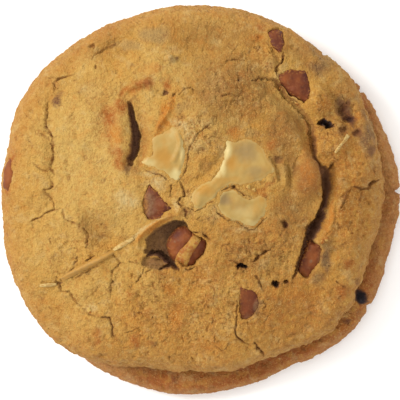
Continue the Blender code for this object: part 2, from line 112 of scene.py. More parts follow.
# Deep openings, as points (x, y, width in pixels, depth in millimetres), and the share of
# their width that is at full depth
GORGE = (
    (266, 77.5, 2, 0.3), (275, 81, 5, 1.0), (281, 89, 6, 1.2), (290, 99, 5, 0.9),
    (303, 111, 4.4, 0.7), (310, 121, 4.6, 0.9), (313, 135, 5.4, 1.2), (314, 147, 6, 1.4),
    (314, 157, 4.6, 1.4), (319, 165, 5.4, 1.7), (325, 174, 13, 2.1), (326, 184, 13, 2.3),
    (325.5, 194, 10, 2.5), (323, 206, 7.5, 2.8), (320, 217, 9, 3.2), (313, 229, 13, 3.6),
    (309, 238, 11, 3.4), (304, 249, 6, 2.6), (299.5, 262, 5.4, 2.2), (295.5, 273, 4, 1.6),
    (293, 279, 2, 0.4),
)
GORGE_CORE = 0.45
SLOT = (
    (129.8, 103, 4.6, 0.9), (130.8, 108, 6.6, 1.9), (133.2, 120, 8.2, 2.5), (136, 134, 10, 2.9),
    (135.6, 143, 10.4, 3.0), (134.2, 151, 10.8, 2.9), (132, 157.5, 11.4, 2.7), (131, 162, 10, 1.5),
)
SLOT_CORE = 0.5
# Hollow beside the chunk in the middle, with a lump of dough low in its lower left
HOLLOW = (
    ((148, 251, 10, 1.8), (153, 247, 20, 2.4), (159, 240, 22, 2.8),
     (167, 233, 21, 3.2), (175, 228, 17, 3.2), (183, 227, 11, 2.8), (188, 231, 6, 1.2)),
    ((160, 244, 24, 2.8), (167, 251, 17, 3.2), (172, 260, 10, 3.4)),
    ((147, 262, 12, 1.0), (156, 263, 14, 1.3), (164, 265, 8, 1.1)),
)
HOLLOW_CORE = 0.55
# Deep arc between that lump and the floor of the hollow, and its branch
HOLLOW_ARC = (
    ((146, 256.5, 3, 1.8), (150, 253.5, 4.5, 3.4), (156, 253, 5, 4.2), (163, 257, 6, 4.6),
     (169, 262, 7, 4.6), (175, 266.5, 6, 4.0), (179, 269.5, 3, 1.6)),
    ((160, 268.5, 2.5, 1.4), (166, 267, 3.4, 2.4), (172, 264.5, 4, 3.0)),
)
ARC_CORE = 0.35
# Soft hollows and folds, as points (x, y, width in pixels, depth in millimetres)
VALLEYS = (
    ((264, 82, 20, 0.6), (276, 92, 32, 1.6), (290, 105, 34, 2.0), (304, 121, 34, 2.0),
     (311, 140, 28, 1.8), (312, 156, 14, 0.6)),
    ((333, 164, 8, 0.5), (331, 176, 16, 1.8), (329, 190, 15, 2.0), (326, 208, 12, 1.8),
     (320, 226, 14, 1.8), (314, 240, 12, 1.2)),
    ((270, 158, 6, 0.5), (276, 166, 7, 0.9), (279, 180, 6, 0.6)),
    ((288, 166, 5, 0.5), (290, 176, 6, 0.9), (290, 186, 5, 0.4)),
    ((84, 212, 20, 0.4), (94, 226, 30, 1.5), (108, 242, 26, 1.1), (118, 250, 16, 0.3)),
    ((138, 104, 14, 0.4), (142, 124, 20, 1.2), (142, 150, 19, 1.2), (138, 166, 12, 0.5)),
    ((124, 162, 8, 0.3), (130, 170, 10, 0.7), (128, 178, 8, 0.3)),
    ((322, 86, 10, 0.3), (334, 98, 16, 0.8), (345, 114, 16, 1.1), (346, 128, 10, 0.5)),
    ((225, 150, 8, 0.2), (216, 164, 12, 0.45), (204, 176, 12, 0.35), (192, 184, 8, 0.2)),
    ((297, 158, 6, 0.3), (295, 167, 8, 0.8), (292, 178, 7, 0.5), (291, 188, 6, 0.2)),
    ((268, 44, 6, 0.3), (276, 58, 8, 0.6), (277, 70, 8, 0.8)),
    ((96, 52, 10, 0.4), (112, 44, 12, 0.5), (126, 38, 8, 0.3)),
    ((50, 96, 12, 0.3), (49, 130, 14, 0.45), (52, 170, 14, 0.45), (50, 205, 12, 0.35)),
)
# Raised folds, as points (x, y, width in pixels, height in millimetres)
RIDGES = (
    ((121, 100, 12, 0.3), (120, 112, 24, 1.1), (121, 130, 28, 1.5), (122, 147, 26, 1.3),
     (122, 159, 16, 0.9), (122, 169, 10, 0.3)),
    ((57, 280, 4, 0.2), (70, 273, 6, 0.55), (85, 266, 7, 0.6), (100, 259, 7, 0.6),
     (112, 253, 5, 0.3)),
    ((124, 95, 5, 0.3), (133, 87, 7, 0.6), (147, 84, 9, 0.7), (150, 90, 6, 0.3)),
    ((171, 101, 6, 0.3), (168, 112, 8, 0.6), (162, 122, 8, 0.7), (156, 133, 6, 0.3)),
    ((138, 248, 5, 0.3), (139, 238, 8, 0.9), (147, 229, 9, 1.3), (158, 221, 9, 1.2),
     (169, 216, 8, 0.8), (178, 215, 6, 0.3)),
    ((148, 262, 8, 0.3), (154, 263, 12, 0.8), (161, 265, 8, 0.5)),
    ((281, 162, 7, 0.3), (284, 172, 9, 0.8), (285, 184, 7, 0.4)),
    ((174, 160, 9, 0.3), (180, 146, 8, 0.35), (178, 132, 7, 0.3)),
    ((300, 262, 6, 0.2), (336, 222, 22, 0.5), (340, 180, 22, 0.5)),
    ((333, 202, 8, 0.3), (331, 220, 10, 0.8), (326, 238, 8, 0.3)),
    ((288, 30, 8, 0.2), (298, 42, 12, 0.7), (314, 58, 14, 0.8), (330, 76, 12, 0.3)),
    ((356, 104, 10, 0.2), (364, 124, 14, 0.6), (368, 146, 12, 0.4), (370, 164, 8, 0.1)),
)
# Swellings of the crust: centre and half sizes in pixels, height in millimetres
SWELLINGS = (
    ((306, 177), (17, 29), 2.2),
    ((349, 215), (20, 62), 0.8),
    ((300, 318), (60, 34), 0.5),
    ((240, 100), (50, 40), 0.5),
    ((30, 150), (24, 70), 0.4),
    ((90, 330), (60, 34), 0.5),
    ((135, 341), (9, 9), 0.35),
    ((170, 59), (5.5, 5), 1.6),
    ((319, 100), (15, 19), 1.3),
    ((332, 146), (17, 20), 1.0),
    ((262, 62), (18, 14), 0.6),
    ((360, 178), (14, 12), 0.6),
    ((350, 238), (13, 11), 0.5),
    ((338, 262), (12, 10), 0.5),
    ((350, 300), (10, 12), 0.5),
    ((325, 312), (18, 11), 0.6),
    ((86, 290), (16, 13), 0.5),
    ((128, 300), (14, 16), 0.4),
    ((60, 245), (18, 16), 0.4),
)
# Cracks: path in pixels, width in pixels, depth in millimetres
CRACKS = (
    # ring crack down the photo's left
    (((76, 74), (67, 77), (58, 80), (55, 84), (55, 90), (52, 96)), 2.6, 0.9),
    (((44, 79), (52, 77), (58, 80)), 1.6, 0.4),
    (((47, 103), (48, 111), (46, 121), (47, 128), (54, 139), (53, 148), (54, 157), (50, 168),
      (55, 175)), 3.0, 1.1),
    (((34, 163), (42, 170), (50, 171)), 1.8, 0.6),
    (((54, 176), (51, 180), (53, 187), (46, 190), (51, 201), (56, 209)), 2.6, 0.9),
    (((60, 208), (54, 210), (46, 214), (40, 218), (27, 224)), 2.4, 0.8),
    (((63, 209), (65, 218), (74, 223), (80, 226)), 2.4, 0.8),
    (((84, 228), (89, 236), (86, 246)), 3.4, 1.2),
    (((28, 140), (33, 143)), 1.6, 0.4),
    (((50, 237), (52, 245)), 1.8, 0.5),
    # lower left
    (((56, 276), (57, 284), (62, 290)), 3.2, 0.9),
    (((60, 291), (70, 292), (74, 299), (80, 305), (87, 310), (94, 316), (99, 317)), 2.4, 0.7),
    (((99, 316), (109, 316), (113, 326), (113, 334), (117, 339), (123, 344)), 2.6, 0.8),
    (((126, 332), (134, 329), (142, 326)), 1.6, 0.4),
    (((113, 251), (120, 262), (114, 271), (111, 285), (111, 296)), 2.2, 0.7),
    (((79, 256), (77, 262), (75, 268), (67, 273)), 2.2, 0.6),
    (((86, 260.5), (91, 258.5), (96, 255.5)), 2.4, 0.7),
    (((76, 278), (82, 274), (90, 270), (101, 264)), 2.2, 0.6),
    (((109, 250), (113, 252.5), (119, 262), (124, 263)), 2.4, 0.8),
    (((56, 279), (57, 284), (63, 282.5)), 3.2, 0.7),
    (((129, 262), (134, 262.5), (142, 261.5)), 1.6, 0.4),
    (((95, 292), (100, 284)), 1.4, 0.3),
    (((144, 268), (142, 274), (136, 284)), 1.6, 0.6),
    (((145, 273), (153, 269)), 1.6, 0.5),
    # middle
    (((212, 122), (204, 129), (198, 134), (191, 146), (188, 160), (186, 171), (179, 181),
      (172, 187)), 1.8, 0.6),
    (((142, 168), (150, 171.5), (157, 174), (164, 177), (170, 182)), 1.8, 0.6),
    (((172, 183), (170, 190), (170, 197)), 2.0, 0.7),
    (((181, 182), (184, 189), (184, 196), (178, 201), (177, 203)), 3.0, 1.0),
    (((178, 202), (184, 208), (186, 212), (186, 219)), 2.6, 0.9),
    (((181, 204), (188, 208), (196, 212)), 2.0, 0.6),
    (((196, 212), (204, 207), (209, 203), (214, 199)), 1.8, 0.6),
    (((213, 206), (219, 214), (227, 221), (233, 219), (237, 223), (248, 229), (255, 229),
      (262, 222), (266, 218)), 2.0, 0.7),
    (((221, 192), (226, 188), (231, 187), (238, 190), (243, 194), (250, 196)), 2.6, 0.8),
    (((253, 262), (260, 256), (270, 249)), 4.2, 1.5),
    (((240, 268), (235, 262), (228, 259)), 2.0, 0.6),
    (((255, 275), (259, 282), (262, 289)), 2.2, 0.8),
    (((189, 231), (194, 231), (199, 233)), 2.4, 1.0),
    (((203, 232), (207, 236), (210, 241)), 3.2, 1.4),
    (((186, 268), (189, 270), (194, 267)), 2.0, 0.8),
    # lower middle
    (((236, 300), (237, 311), (237, 322), (234, 329), (237, 336), (243, 342), (249, 345)),
     2.4, 0.9),
    (((254, 342), (257, 348), (262, 350), (264, 356)), 4.2, 1.6),
    (((262, 299), (267, 303), (262, 309)), 1.6, 0.4),
    # top
    (((225, 61), (233, 59), (240, 60), (247, 61)), 2.4, 0.8),
    (((219, 98), (225, 96), (231, 96)), 2.2, 0.6),
    (((238, 77), (239, 82)), 2.2, 0.6),
    (((179, 96), (185, 90), (192, 88), (194, 95)), 1.8, 0.5),
    (((251, 81), (255, 80), (258, 77), (263, 79), (268, 77)), 3.0, 1.1),
    (((283, 53), (283, 60), (279, 65), (276, 70), (276, 77)), 2.6, 1.2),
    (((119, 42), (107, 48), (96, 54), (93, 59)), 2.6, 0.7),
    (((95, 65), (98, 70)), 2.2, 0.6),
    (((70, 117), (75, 113)), 1.6, 0.4),
    (((240, 46), (233, 52), (229, 60)), 1.6, 0.4),
    # right band
    (((338, 212), (342, 204), (344, 197), (350, 187)), 2.4, 0.7),
    (((354, 187), (361, 189), (368, 189), (371, 184), (379, 180)), 4.4, 1.7),
    (((381, 188), (384, 195)), 2.0, 0.6),
    (((326, 174), (329, 169), (333, 164)), 4.0, 2.4),
    (((335, 280), (341, 283), (346, 288)), 2.0, 0.5),
    (((386, 195), (391, 191)), 2.4, 0.8),
    (((302, 345), (304, 352)), 2.4, 0.9),
    # short cracks of the lower crust
    (((169, 354), (169, 360)), 1.6, 0.5),
    (((191, 357), (194, 362)), 1.8, 0.5),
    (((183, 336), (184, 342)), 1.4, 0.4),
    (((214, 335), (214, 340)), 1.4, 0.4),
    (((228, 342), (227, 349)), 1.4, 0.4),
    (((154, 342), (156, 347)), 1.6, 0.4),
    (((205, 300), (206, 307)), 1.2, 0.3),
    (((193, 318), (190, 324)), 1.2, 0.3),
)
CRACK_SHARE = 0.68  # share of its listed depth that a crack has at its middle
CRACK_SPREAD = 1.25  # widening of the cracks towards their lips
# Pits: centre and half sizes in pixels, depth in millimetres
PITS = (
    ((361.5, 297.5), (8.5, 8.5), 4.0),
    ((323, 123), (6, 3.5), 3.0),
    ((330, 124.5), (6, 4), 3.4),
    ((241, 265.5), (6, 2.8), 2.4),
    ((275, 284), (6.5, 3), 2.2),
    ((286, 281), (3, 3), 1.4),
    ((349, 119), (4, 5), 0.9),
    ((344, 108), (5, 7), 0.8),
    ((343, 130), (5, 3), 0.6),
    ((357, 133), (3.5, 4), 0.5),
    ((91, 46), (3, 3), 0.6),
    ((285.4, 224.5), (4.5, 5.5), 1.0),
    ((278, 160), (4.5, 5.5), 0.5),
    ((165, 93), (3, 3), 0.6),
    ((174, 96), (2.5, 2), 0.5),
    ((200, 151), (7, 4), 0.35),
    ((206, 166), (8, 9), 0.35),
    ((231.7, 187), (2.2, 2.2), 1.0),
    ((346, 322), (6, 3), 0.8),
    ((321, 341), (4, 3.5), 0.8),
)
UNDULATION = 0.28 * MM
UNDULATION_LENGTH = 16.0 * MM
LUMPS = 0.32 * MM
LUMP_LENGTH = 4.6 * MM
RIM_CALM = 0.7  # share of the unevenness that the rim goes without, so that it keeps its outline
BASE_HOLES = 0.25 * MM
BASE_HOLE_LENGTH = 1.8 * MM
CRUMB_TEAR = 0.22 * MM  # how far the hair cracks between the crumbs wander
TEAR_LENGTH = 0.8 * MM

# Chunks: node, outline in pixels, lift of the top above the crust, height of its crown and
# thickness in millimetres, slope of the top along X and Y
CHUNKS = (
    ("chunk_top", ((266, 33), (271, 30), (279, 30), (283, 36), (284, 46), (281, 53), (276, 51),
                   (270, 44)), 0.3, 0.5, 3.0, (0.1, -0.1)),
    ("chunk_upper_right", ((278, 76), (283, 72), (291, 70), (299, 70), (305, 71), (309, 78),
                           (311, 87), (311, 95), (307, 104), (301, 103), (293, 98), (285, 90),
                           (279, 83)), 0.1, 0.5, 3.6, (-0.05, 0.1)),
    ("chunk_centre", ((149, 183), (155, 188), (163, 197), (171, 207), (165, 214), (158, 220),
                      (147, 220), (142, 210), (143, 196)), 0.0, 0.4, 3.0, (0.1, 0.05)),
    ("chunk_hollow", ((172, 232), (180, 226), (189, 227), (198, 234), (206, 238), (209, 245),
                      (206, 253), (200, 261), (192, 268), (183, 268), (175, 262), (169, 254),
                      (167, 243)), 0.0, 2.2, 5.2, (-0.05, 0.05)),
    ("chunk_right", ((307, 243), (312, 239), (319, 243), (323, 251), (322, 261), (316, 271),
                     (309, 280), (303, 279), (297, 271), (300, 260)), -0.9, 0.6, 3.8, (0.12, 0.0)),
    ("chunk_lower", ((239, 288), (247, 288), (255, 290), (259, 298), (259, 308), (253, 317),
                     (242, 320), (238, 309)), 0.0, 0.5, 3.0, (-0.05, 0.1)),
)
CHUNK_SEED = 50
# The chunk in the left side: node, middle in pixels, half sizes outwards, along the edge and
# upwards, and height
RIM_CHUNK = ("chunk_rim", (11.5, 176.0), (1.5 * MM, 3.6 * MM, 1.6 * MM), 10.7 * MM)

EDGE_DIP = 0.20 * MM  # how far a piece's edge dips under the dough that laps over it
EDGE_DIP_WIDTH = 0.5 * MM
CHUNK_LAP = 0.18 * MM  # how far inwards from a chunk's edge the dough's bed for it begins
WHITE_LAP = 0.38 * MM
LAP_FRAY = 0.16 * MM
BED_WALL = 0.45 * MM  # width of the slope down into a bed
CHUNK_BED = 2.6 * MM
WHITE_BED = 1.0 * MM
RAG_SEED = 20
PIECE_RAG = 0.55  # raggedness of the chunks and the white chocolate, with the cracks' as 1
PIT_RAG = 1.5

# White chocolate: node, outline in pixels, lift above the crust and thickness in millimetres
WHITES = (
    ("white_left", ((173, 126), (179, 130), (183, 136), (185, 147), (187, 156), (185, 166),
                    (182, 176), (178, 182), (171, 180), (165, 174), (157, 171), (146, 166),
                    (140, 164), (144, 158), (151, 154), (150, 144), (154, 136), (161, 132),
                    (168, 129)), 0.20, 1.6),
    ("white_upper", ((225, 141), (236, 141), (246, 138), (257, 142), (265, 149), (269, 160),
                     (275, 168), (275, 173), (268, 177), (258, 182), (244, 186), (232, 186),
                     (222, 190), (216, 197), (208, 204), (199, 210), (192, 206), (190, 198),
                     (193, 190), (202, 183), (212, 179), (219, 169), (223, 156)), 0.25, 1.7),
    ("white_lower", ((222, 192), (231, 189), (238, 191), (244, 196), (251, 198), (258, 194),
                     (265, 196), (269, 204), (266, 213), (260, 220), (254, 227), (245, 226),
                     (236, 222), (226, 218), (219, 212), (217, 203)), 0.16, 1.6),
)
WHITE_SEED = 80
# Raised folds and dents in its top, as points (x, y, width in pixels, millimetres)
WHITE_FOLDS = (
    ((228, 146, 10, 0.05), (225, 158, 12, 0.12), (216, 174, 14, 0.2), (208, 184, 18, 0.35),
     (201, 194, 20, 0.5), (198, 204, 14, 0.3)),
    ((177, 132, 7, 0.1), (181, 142, 7, 0.2), (183, 156, 7, 0.15), (179, 172, 8, 0.1)),
    ((243, 160, 24, 0.1), (256, 164, 30, 0.2), (266, 168, 16, 0.1)),
    ((238, 214, 16, 0.1), (248, 218, 22, 0.2), (257, 210, 18, 0.2)),
)
WHITE_DENTS = (
    ((166, 130, 4, 0.15), (170, 127.5, 4, 0.4), (175, 127, 4, 0.15)),
    ((231, 196, 16, 0.15), (224, 200, 18, 0.35), (224, 208, 14, 0.1)),
)
PIECE_VOXEL = 0.15 * MM

# Pale husks baked into the crust, as points (x, y, width in pixels, rise in millimetres)
HUSKS = (
    ((114, 249.8, 3.0, 0.2), (119, 246.8, 4.4, 0.5), (127, 242.2, 4.6, 0.5), (134, 238.2, 3.2, 0.2)),
    ((40, 285.5, 2.6, 0.2), (46, 285, 3.8, 0.45), (52, 284.6, 3.8, 0.45), (57, 284, 2.4, 0.2)),
    ((348, 135, 4.4, 0.5), (344, 141, 3.8, 0.7), (339, 147, 3.2, 0.65), (334.5, 153, 2.4, 0.4)),
)
# The dough-coloured middle of the long husk
HUSK_STRIP = ((62, 279.5, 4.0, 0.2), (72, 273.6, 5.6, 0.5), (84, 267.4, 6.4, 0.55),
              (98, 260, 6.4, 0.55), (108, 254.6, 5.6, 0.5), (115, 250.6, 3.6, 0.2))
# Dough drawn across the chunk in the hollow
STREAK = ((195, 232, 6, 0.2), (196, 238, 10, 0.5), (191, 246, 10, 0.6), (185, 254, 13, 0.7),
          (182, 261, 14, 0.6), (183, 267, 9, 0.2))
RIBBON_SIDES = 14
RIBBON_SINK = 0.6 * MM
RIBBON_ROUGHNESS = 0.05 * MM

# Loose crumbs that the photo shows singly: x, y and half size in pixels
SHOWN_CRUMBS = (
    (280.5, 88.7, 2.0), (291, 99, 1.8), (294, 101, 2.0), (297, 103.5, 2.2), (300, 106, 1.8),
    (325.5, 211.4, 1.8), (325.5, 239, 2.2), (322, 241, 1.6), (306.7, 243.5, 1.8),
    (90, 310, 2.2), (248, 187, 2.2), (253, 190, 1.8),
)
CRUMB_RISE = 0.1  # share of a crumb's half size that its middle lies above the crust

# Colour marks on the crust. Spots: centre and half sizes in pixels, strength. Lines: points of
# (x, y, width in pixels, strength).
# Brown toasted dough
TOASTED_SPOTS = (
    ((262, 28), (7, 6), 0.8), ((256, 40), (8, 7), 0.8), ((97, 336), (7, 12), 0.8),
    ((135, 341), (9, 10), 1.0), ((148, 314), (10, 8), 0.35), ((362, 197), (8, 6), 0.2),
    ((342, 291), (9, 9), 1.0), ((349, 264), (8, 8), 1.0),
    ((168, 288), (10, 9), 0.4), ((130, 293), (6, 6), 0.7), ((147, 84), (11, 9), 1.0),
    ((233, 132), (9, 8), 0.8), ((271, 146), (6, 7), 0.7), ((258, 190), (8, 5), 0.8),
    ((263, 196), (5, 6), 0.8), ((122, 156), (5, 6), 0.9), ((121, 166), (6, 8), 0.7),
    ((308, 177), (17, 29), 0.6), ((156, 70), (6, 6), 0.5), ((120, 108), (12, 10), 1.0),
    ((119, 134), (10, 20), 0.3),
    ((110, 118), (11, 16), 1.0), ((110, 135), (7, 13), 0.85), ((113, 149), (7, 8), 0.5),
    ((119, 154), (9, 8), 1.0), ((121, 164), (9, 10), 0.9), ((108, 128), (16, 26), 0.3),
    ((240, 75), (8, 5), 0.4), ((300, 300), (26, 14), 0.3), ((176, 320), (10, 22), 0.45),
    ((250, 112), (16, 14), 0.3), ((207, 280), (26, 14), 0.3), ((12, 150), (5, 12), 0.5),
    ((8, 190), (3, 12), 0.9), ((345, 328), (12, 8), 1.0), ((324, 104), (8, 10), 0.4),
    ((108, 30), (20, 10), 0.3), ((148, 345), (8, 7), 0.4), ((339, 294), (6, 10), 0.8),
    ((359, 117), (5, 7), 0.5), ((206, 345), (30, 12), 0.2), ((206, 300), (10, 7), 0.5),
    ((183, 308), (8, 8), 0.5), ((306, 150), (8, 14), 0.5), ((168, 86), (8, 9), 1.0),
    ((140, 160), (6, 10), 0.4), ((54, 84), (8, 6), 0.4), ((184, 262), (7, 7), 0.5),
)
TOASTED_LINES = (
    ((122, 97, 9, 0.9), (131, 88, 12, 0.9), (147, 84, 14, 1.0)),
    ((8, 168, 7, 0.9), (13, 158, 6, 1.0), (16, 150, 4, 0.4)),
    ((262, 192, 8, 0.9), (268, 186, 8, 0.7), (272, 178, 6, 0.4)),
    ((144, 118, 10, 0.3), (146, 136, 12, 0.35), (142, 158, 10, 0.5)),
    ((304, 116, 8, 0.5), (309, 132, 8, 0.7), (311, 150, 8, 0.7)),
)
# Bright orange dough
ORANGE_SPOTS = (
    ((118, 134), (11, 18), 0.7), ((258, 192), (9, 5), 0.7), ((236, 134), (9, 7), 0.5),
    ((132, 91), (12, 8), 0.4), ((176, 92), (8, 8), 0.3), ((206, 345), (34, 12), 0.3),
    ((176, 318), (12, 20), 0.4), ((325, 103), (16, 14), 0.4), ((150, 70), (12, 9), 0.4),
    ((130, 318), (22, 14), 0.3), ((357, 118), (6, 8), 0.6), ((168, 288), (11, 9), 0.6),
    ((177, 122), (9, 8), 0.5), ((256, 40), (8, 7), 0.4), ((100, 100), (14, 12), 0.25),
    ((308, 173), (12, 19), 0.6),
)
ORANGE_LINES = (
    ((171, 98, 12, 0.9), (168, 110, 17, 1.0), (163, 121, 16, 1.0), (156, 133, 13, 0.9)),
    ((139, 241, 8, 0.8), (147, 232, 12, 1.0), (156, 225, 10, 0.9), (172, 217, 7, 0.5)),
    ((331, 202, 8, 0.5), (330, 220, 9, 0.7), (326, 238, 8, 0.4)),
)
# Cream-coloured dough, where white chocolate has run into it
CREAM_SPOTS = (
    ((128, 201), (17, 14), 0.9), ((159, 182), (11, 10), 1.0), ((150, 173), (18, 4), 0.9),
    ((176, 207), (5, 9), 0.8), ((170, 59), (7, 8), 1.0), ((178, 124), (10, 12), 0.5),
    ((188, 140), (5, 20), 0.5), ((196, 146), (12, 14), 0.5), ((206, 124), (12, 9), 0.4),
    ((214, 215), (8, 10), 0.4), ((245, 229), (22, 5), 0.5), ((220, 150), (6, 10), 0.5),
    ((87, 90), (12, 10), 0.2), ((92, 308), (6, 5), 0.8), ((268, 66), (8, 10), 0.3),
)
CREAM_LINES = (
    ((134, 237, 4, 0.8), (143, 229, 5, 1.0), (154, 220.5, 5, 1.0), (163, 216, 4, 0.5)),
    ((189, 120, 7, 0.4), (193, 130, 8, 0.5), (189, 150, 6, 0.6)),
    ((170, 122, 6, 0.5), (177, 121, 8, 0.8), (184, 128, 8, 0.9), (188, 141, 6, 0.6)),
    ((367, 118, 2.4, 0.7), (372, 129, 2.6, 0.9), (376, 142, 2.4, 0.7), (378, 153, 2, 0.3)),
    ((284, 24, 3, 0.5), (300, 33, 3, 0.6), (318, 45, 3, 0.6), (330, 56, 3, 0.4)),
)
# Darker tan dough, with painted shade on the slope down into the gorge, the lump in the hollow and the
# slot's right flank
TAN_AND_SHADE_SPOTS = (
    ((232, 86), (66, 62), 0.9), ((282, 136), (30, 52), 1.0), ((290, 215), (30, 48), 0.9),
    ((322, 60), (26, 17), 1.0), ((153, 262), (12, 8), 1.0), ((326, 246), (9, 26), 0.6),
    ((296, 44), (14, 24), 0.7), ((306, 178), (18, 32), 1.0), ((96, 44), (40, 26), 0.5),
    ((94, 228), (26, 26), 0.5), ((215, 36), (84, 28), 0.65), ((254, 150), (60, 26), 0.4),
    ((132, 170), (10, 9), 0.7), ((162, 274), (14, 8), 0.6), ((310, 60), (20, 26), 0.7),
    ((366, 120), (16, 40), 0.5), ((374, 180), (12, 60), 0.5), ((290, 342), (60, 12), 0.4),
    ((250, 255), (50, 32), 0.6), ((206, 164), (10, 10), 0.3), ((290, 315), (60, 34), 0.3),
    ((345, 88), (15, 22), 0.7), ((304, 222), (12, 22), 1.0), ((142, 138), (5, 26), 0.6),
    ((342, 291), (9, 10), 0.5),
)
# Greyish-green dough
OLIVE_SPOTS = (
    ((155, 35), (22, 13), 1.0), ((131, 45), (12, 8), 0.8), ((183, 108), (9, 9), 0.6),
    ((250, 134), (10, 6), 0.6), ((90, 90), (18, 16), 0.2), ((291, 186), (5, 9), 0.2),
    ((212, 90), (20, 20), 0.3), ((282, 172), (5, 9), 0.4), ((328, 60), (12, 10), 0.4),
)
# Grey film beside the chunks
FILM_SPOTS = (
    ((325, 258), (7, 24), 1.0), ((257, 307), (7, 12), 0.9), ((318, 277), (8, 12), 0.7),
    ((367, 138), (10, 25), 1.0), ((318, 68), (15, 12), 0.9), ((364, 114), (7, 9), 0.6),
    ((343, 106), (10, 16), 0.8), ((352, 100), (8, 8), 0.4), ((373, 165), (4, 12), 0.3),
    ((306, 50), (16, 12), 0.35),
)
# Purple-brown bits and darker dough, with painted shade on the walls of pits and in the folds beside the
# gorge and the lump
DARK_AND_SHADE_SPOTS = (
    ((57, 101), (7, 7), 1.0), ((60, 95), (4, 5), 0.6), ((346, 113), (8, 10), 0.9),
    ((349, 119.5), (6, 6.5), 1.0), ((341, 105), (5, 7), 0.6), ((344, 130), (9, 6), 0.5),
    ((339, 133), (5, 5), 0.45), ((357, 133), (7, 8), 0.75), ((371, 151), (6, 8), 0.7),
    ((147, 84), (6, 6), 0.3), ((307, 178), (18, 30), 0.12), ((299, 122), (10, 18), 0.2),
    ((294, 168), (4, 14), 0.35),
    ((347, 104), (6, 5), 0.7), ((352, 122), (5, 5), 0.9), ((338, 113), (5, 4), 0.5),
    ((165, 93), (3.4, 3.4), 0.8), ((154, 343), (5, 4), 0.5), ((177, 59), (2.5, 2.5), 0.9),
    ((179, 106), (1.6, 3), 0.8), ((179, 113), (2.4, 1.4), 0.7), ((60, 283), (4, 2), 0.7),
    ((185, 213), (5, 6), 0.4), ((240, 80), (2, 4), 0.6), ((361.5, 297), (8, 8.5), 1.0),
    ((326, 124), (8.5, 4.2), 1.0), ((128, 169), (5, 5.5), 0.7), ((138, 167), (2.5, 2.5), 0.6),
    ((202, 232), (3, 3), 0.5), ((103, 234), (3, 3), 0.4), ((277, 160), (6, 6), 0.5),
    ((285.4, 224.4), (4, 5), 0.8), ((346, 321), (5, 2.5), 0.7), ((357, 282), (4, 6), 0.5),
    ((173, 379), (5, 4), 0.5), ((196, 380), (5, 4), 0.5), ((238, 375), (3, 2), 0.7),
)
# Painted shade: black in the floors of the deepest pits
PIT_SHADE_SPOTS = (
    ((361.5, 297.5), (9, 9.5), 1.0), ((327, 124), (8, 4), 1.0), ((241.5, 265.5), (6, 3), 0.8),
    ((275, 284), (6, 3), 0.7), ((349, 120), (3, 4), 0.5),
)
# Pale dough, with painted light on the lit right wall of the gorge
PALE_AND_LIT_SPOTS = (
    ((85, 155), (88, 120), 0.95), ((206, 128), (22, 20), 0.6), ((128, 182), (20, 18), 0.6),
    ((330, 205), (5, 34), 0.4), ((45, 250), (40, 50), 0.6), ((150, 75), (50, 40), 0.5),
    ((100, 290), (50, 40), 0.5), ((198, 146), (16, 20), 0.5), ((150, 250), (20, 10), 0.3),
)
# Warmer, browner colour down the right and bottom of the crust
WARM_SPOTS = (
    ((190, 335), (110, 80), 0.55), ((300, 310), (110, 70), 1.0), ((350, 180), (60, 150), 1.0),
    ((190, 270), (60, 50), 0.5), ((100, 350), (70, 40), 0.5), ((250, 240), (70, 50), 0.7),
    ((262, 50), (30, 30), 0.5), ((60, 320), (40, 40), 0.2),
)
# Stretches of the base that are as light as the dough above them
LIGHT_BASE_SPOTS = (
    ((392, 150), (34, 100), 0.9), ((386, 250), (26, 70), 0.7), ((112, 362), (54, 36), 1.0),
    ((325, 344), (14, 6), 0.9),
)
# Coarse crumbly and smooth parts of the crust
COARSE_SPOTS = (
    ((205, 135), (30, 32), 1.0), ((190, 205), (30, 22), 0.7), ((258, 255), (50, 34), 0.7),
    ((190, 300), (120, 60), 0.6), ((240, 96), (56, 36), 0.6), ((330, 140), (22, 34), 0.8),
    ((350, 320), (30, 26), 0.6), ((262, 60), (26, 24), 0.5), ((80, 260), (44, 40), 0.4),
    ((328, 104), (24, 22), 1.0), ((346, 114), (14, 20), 1.0), ((350, 210), (26, 60), 0.5),
)
SMOOTH_SPOTS = (
    ((308, 178), (15, 26), 1.0), ((90, 160), (34, 60), 0.5), ((160, 276), (16, 7), 0.8),
    ((118, 130), (12, 30), 0.6), ((148, 34), (26, 14), 0.6), ((155, 230), (20, 12), 0.4),
)

# Colours in linear light
PALE_DOUGH = (0.412, 0.262, 0.071)
GOLD_DOUGH = (0.365, 0.188, 0.034)
WARM_DOUGH = (0.312, 0.130, 0.020)
TAN_AND_SHADE_DOUGH = (0.184, 0.083, 0.018)
TOASTED_DOUGH = (0.260, 0.083, 0.012)
ORANGE_DOUGH = (0.365, 0.130, 0.014)
RIM_DOUGH = (0.320, 0.155, 0.034)
BASE_DOUGH = (0.220, 0.056, 0.011)
BASE_EDGE = (0.335, 0.152, 0.046)
CREAM_DOUGH = (0.420, 0.305, 0.130)
# painted shade in cracks, openings and the hollow; in the cracks over their browner crumb
CRACK_CRUMB_AND_SHADE = (0.175, 0.066, 0.016)
HOLLOW_SHADE = (0.168, 0.082, 0.030)
DEEP_SHADE = (0.138, 0.064, 0.034)
SPECK_AND_PIT_SHADE = (0.205, 0.074, 0.014)
LIGHT_CRUMB = (0.52, 0.33, 0.105)
OLIVE_DOUGH = (0.262, 0.160, 0.053)
FILM_GREY = (0.118, 0.062, 0.027)
# purple-brown bits, also used as painted shade in pits and folds
DARK_BIT_AND_SHADE = (0.078, 0.024, 0.016)
# painted shade for the floors of the deepest pits
PIT_SHADE = (0.018, 0.013, 0.015)
HUSK = (0.45, 0.32, 0.115)
HUSK_SHADE = (0.31, 0.175, 0.048)
CHUNK_MAIN = (0.128, 0.032, 0.010)
CHUNK_LIT = (0.210, 0.060, 0.014)
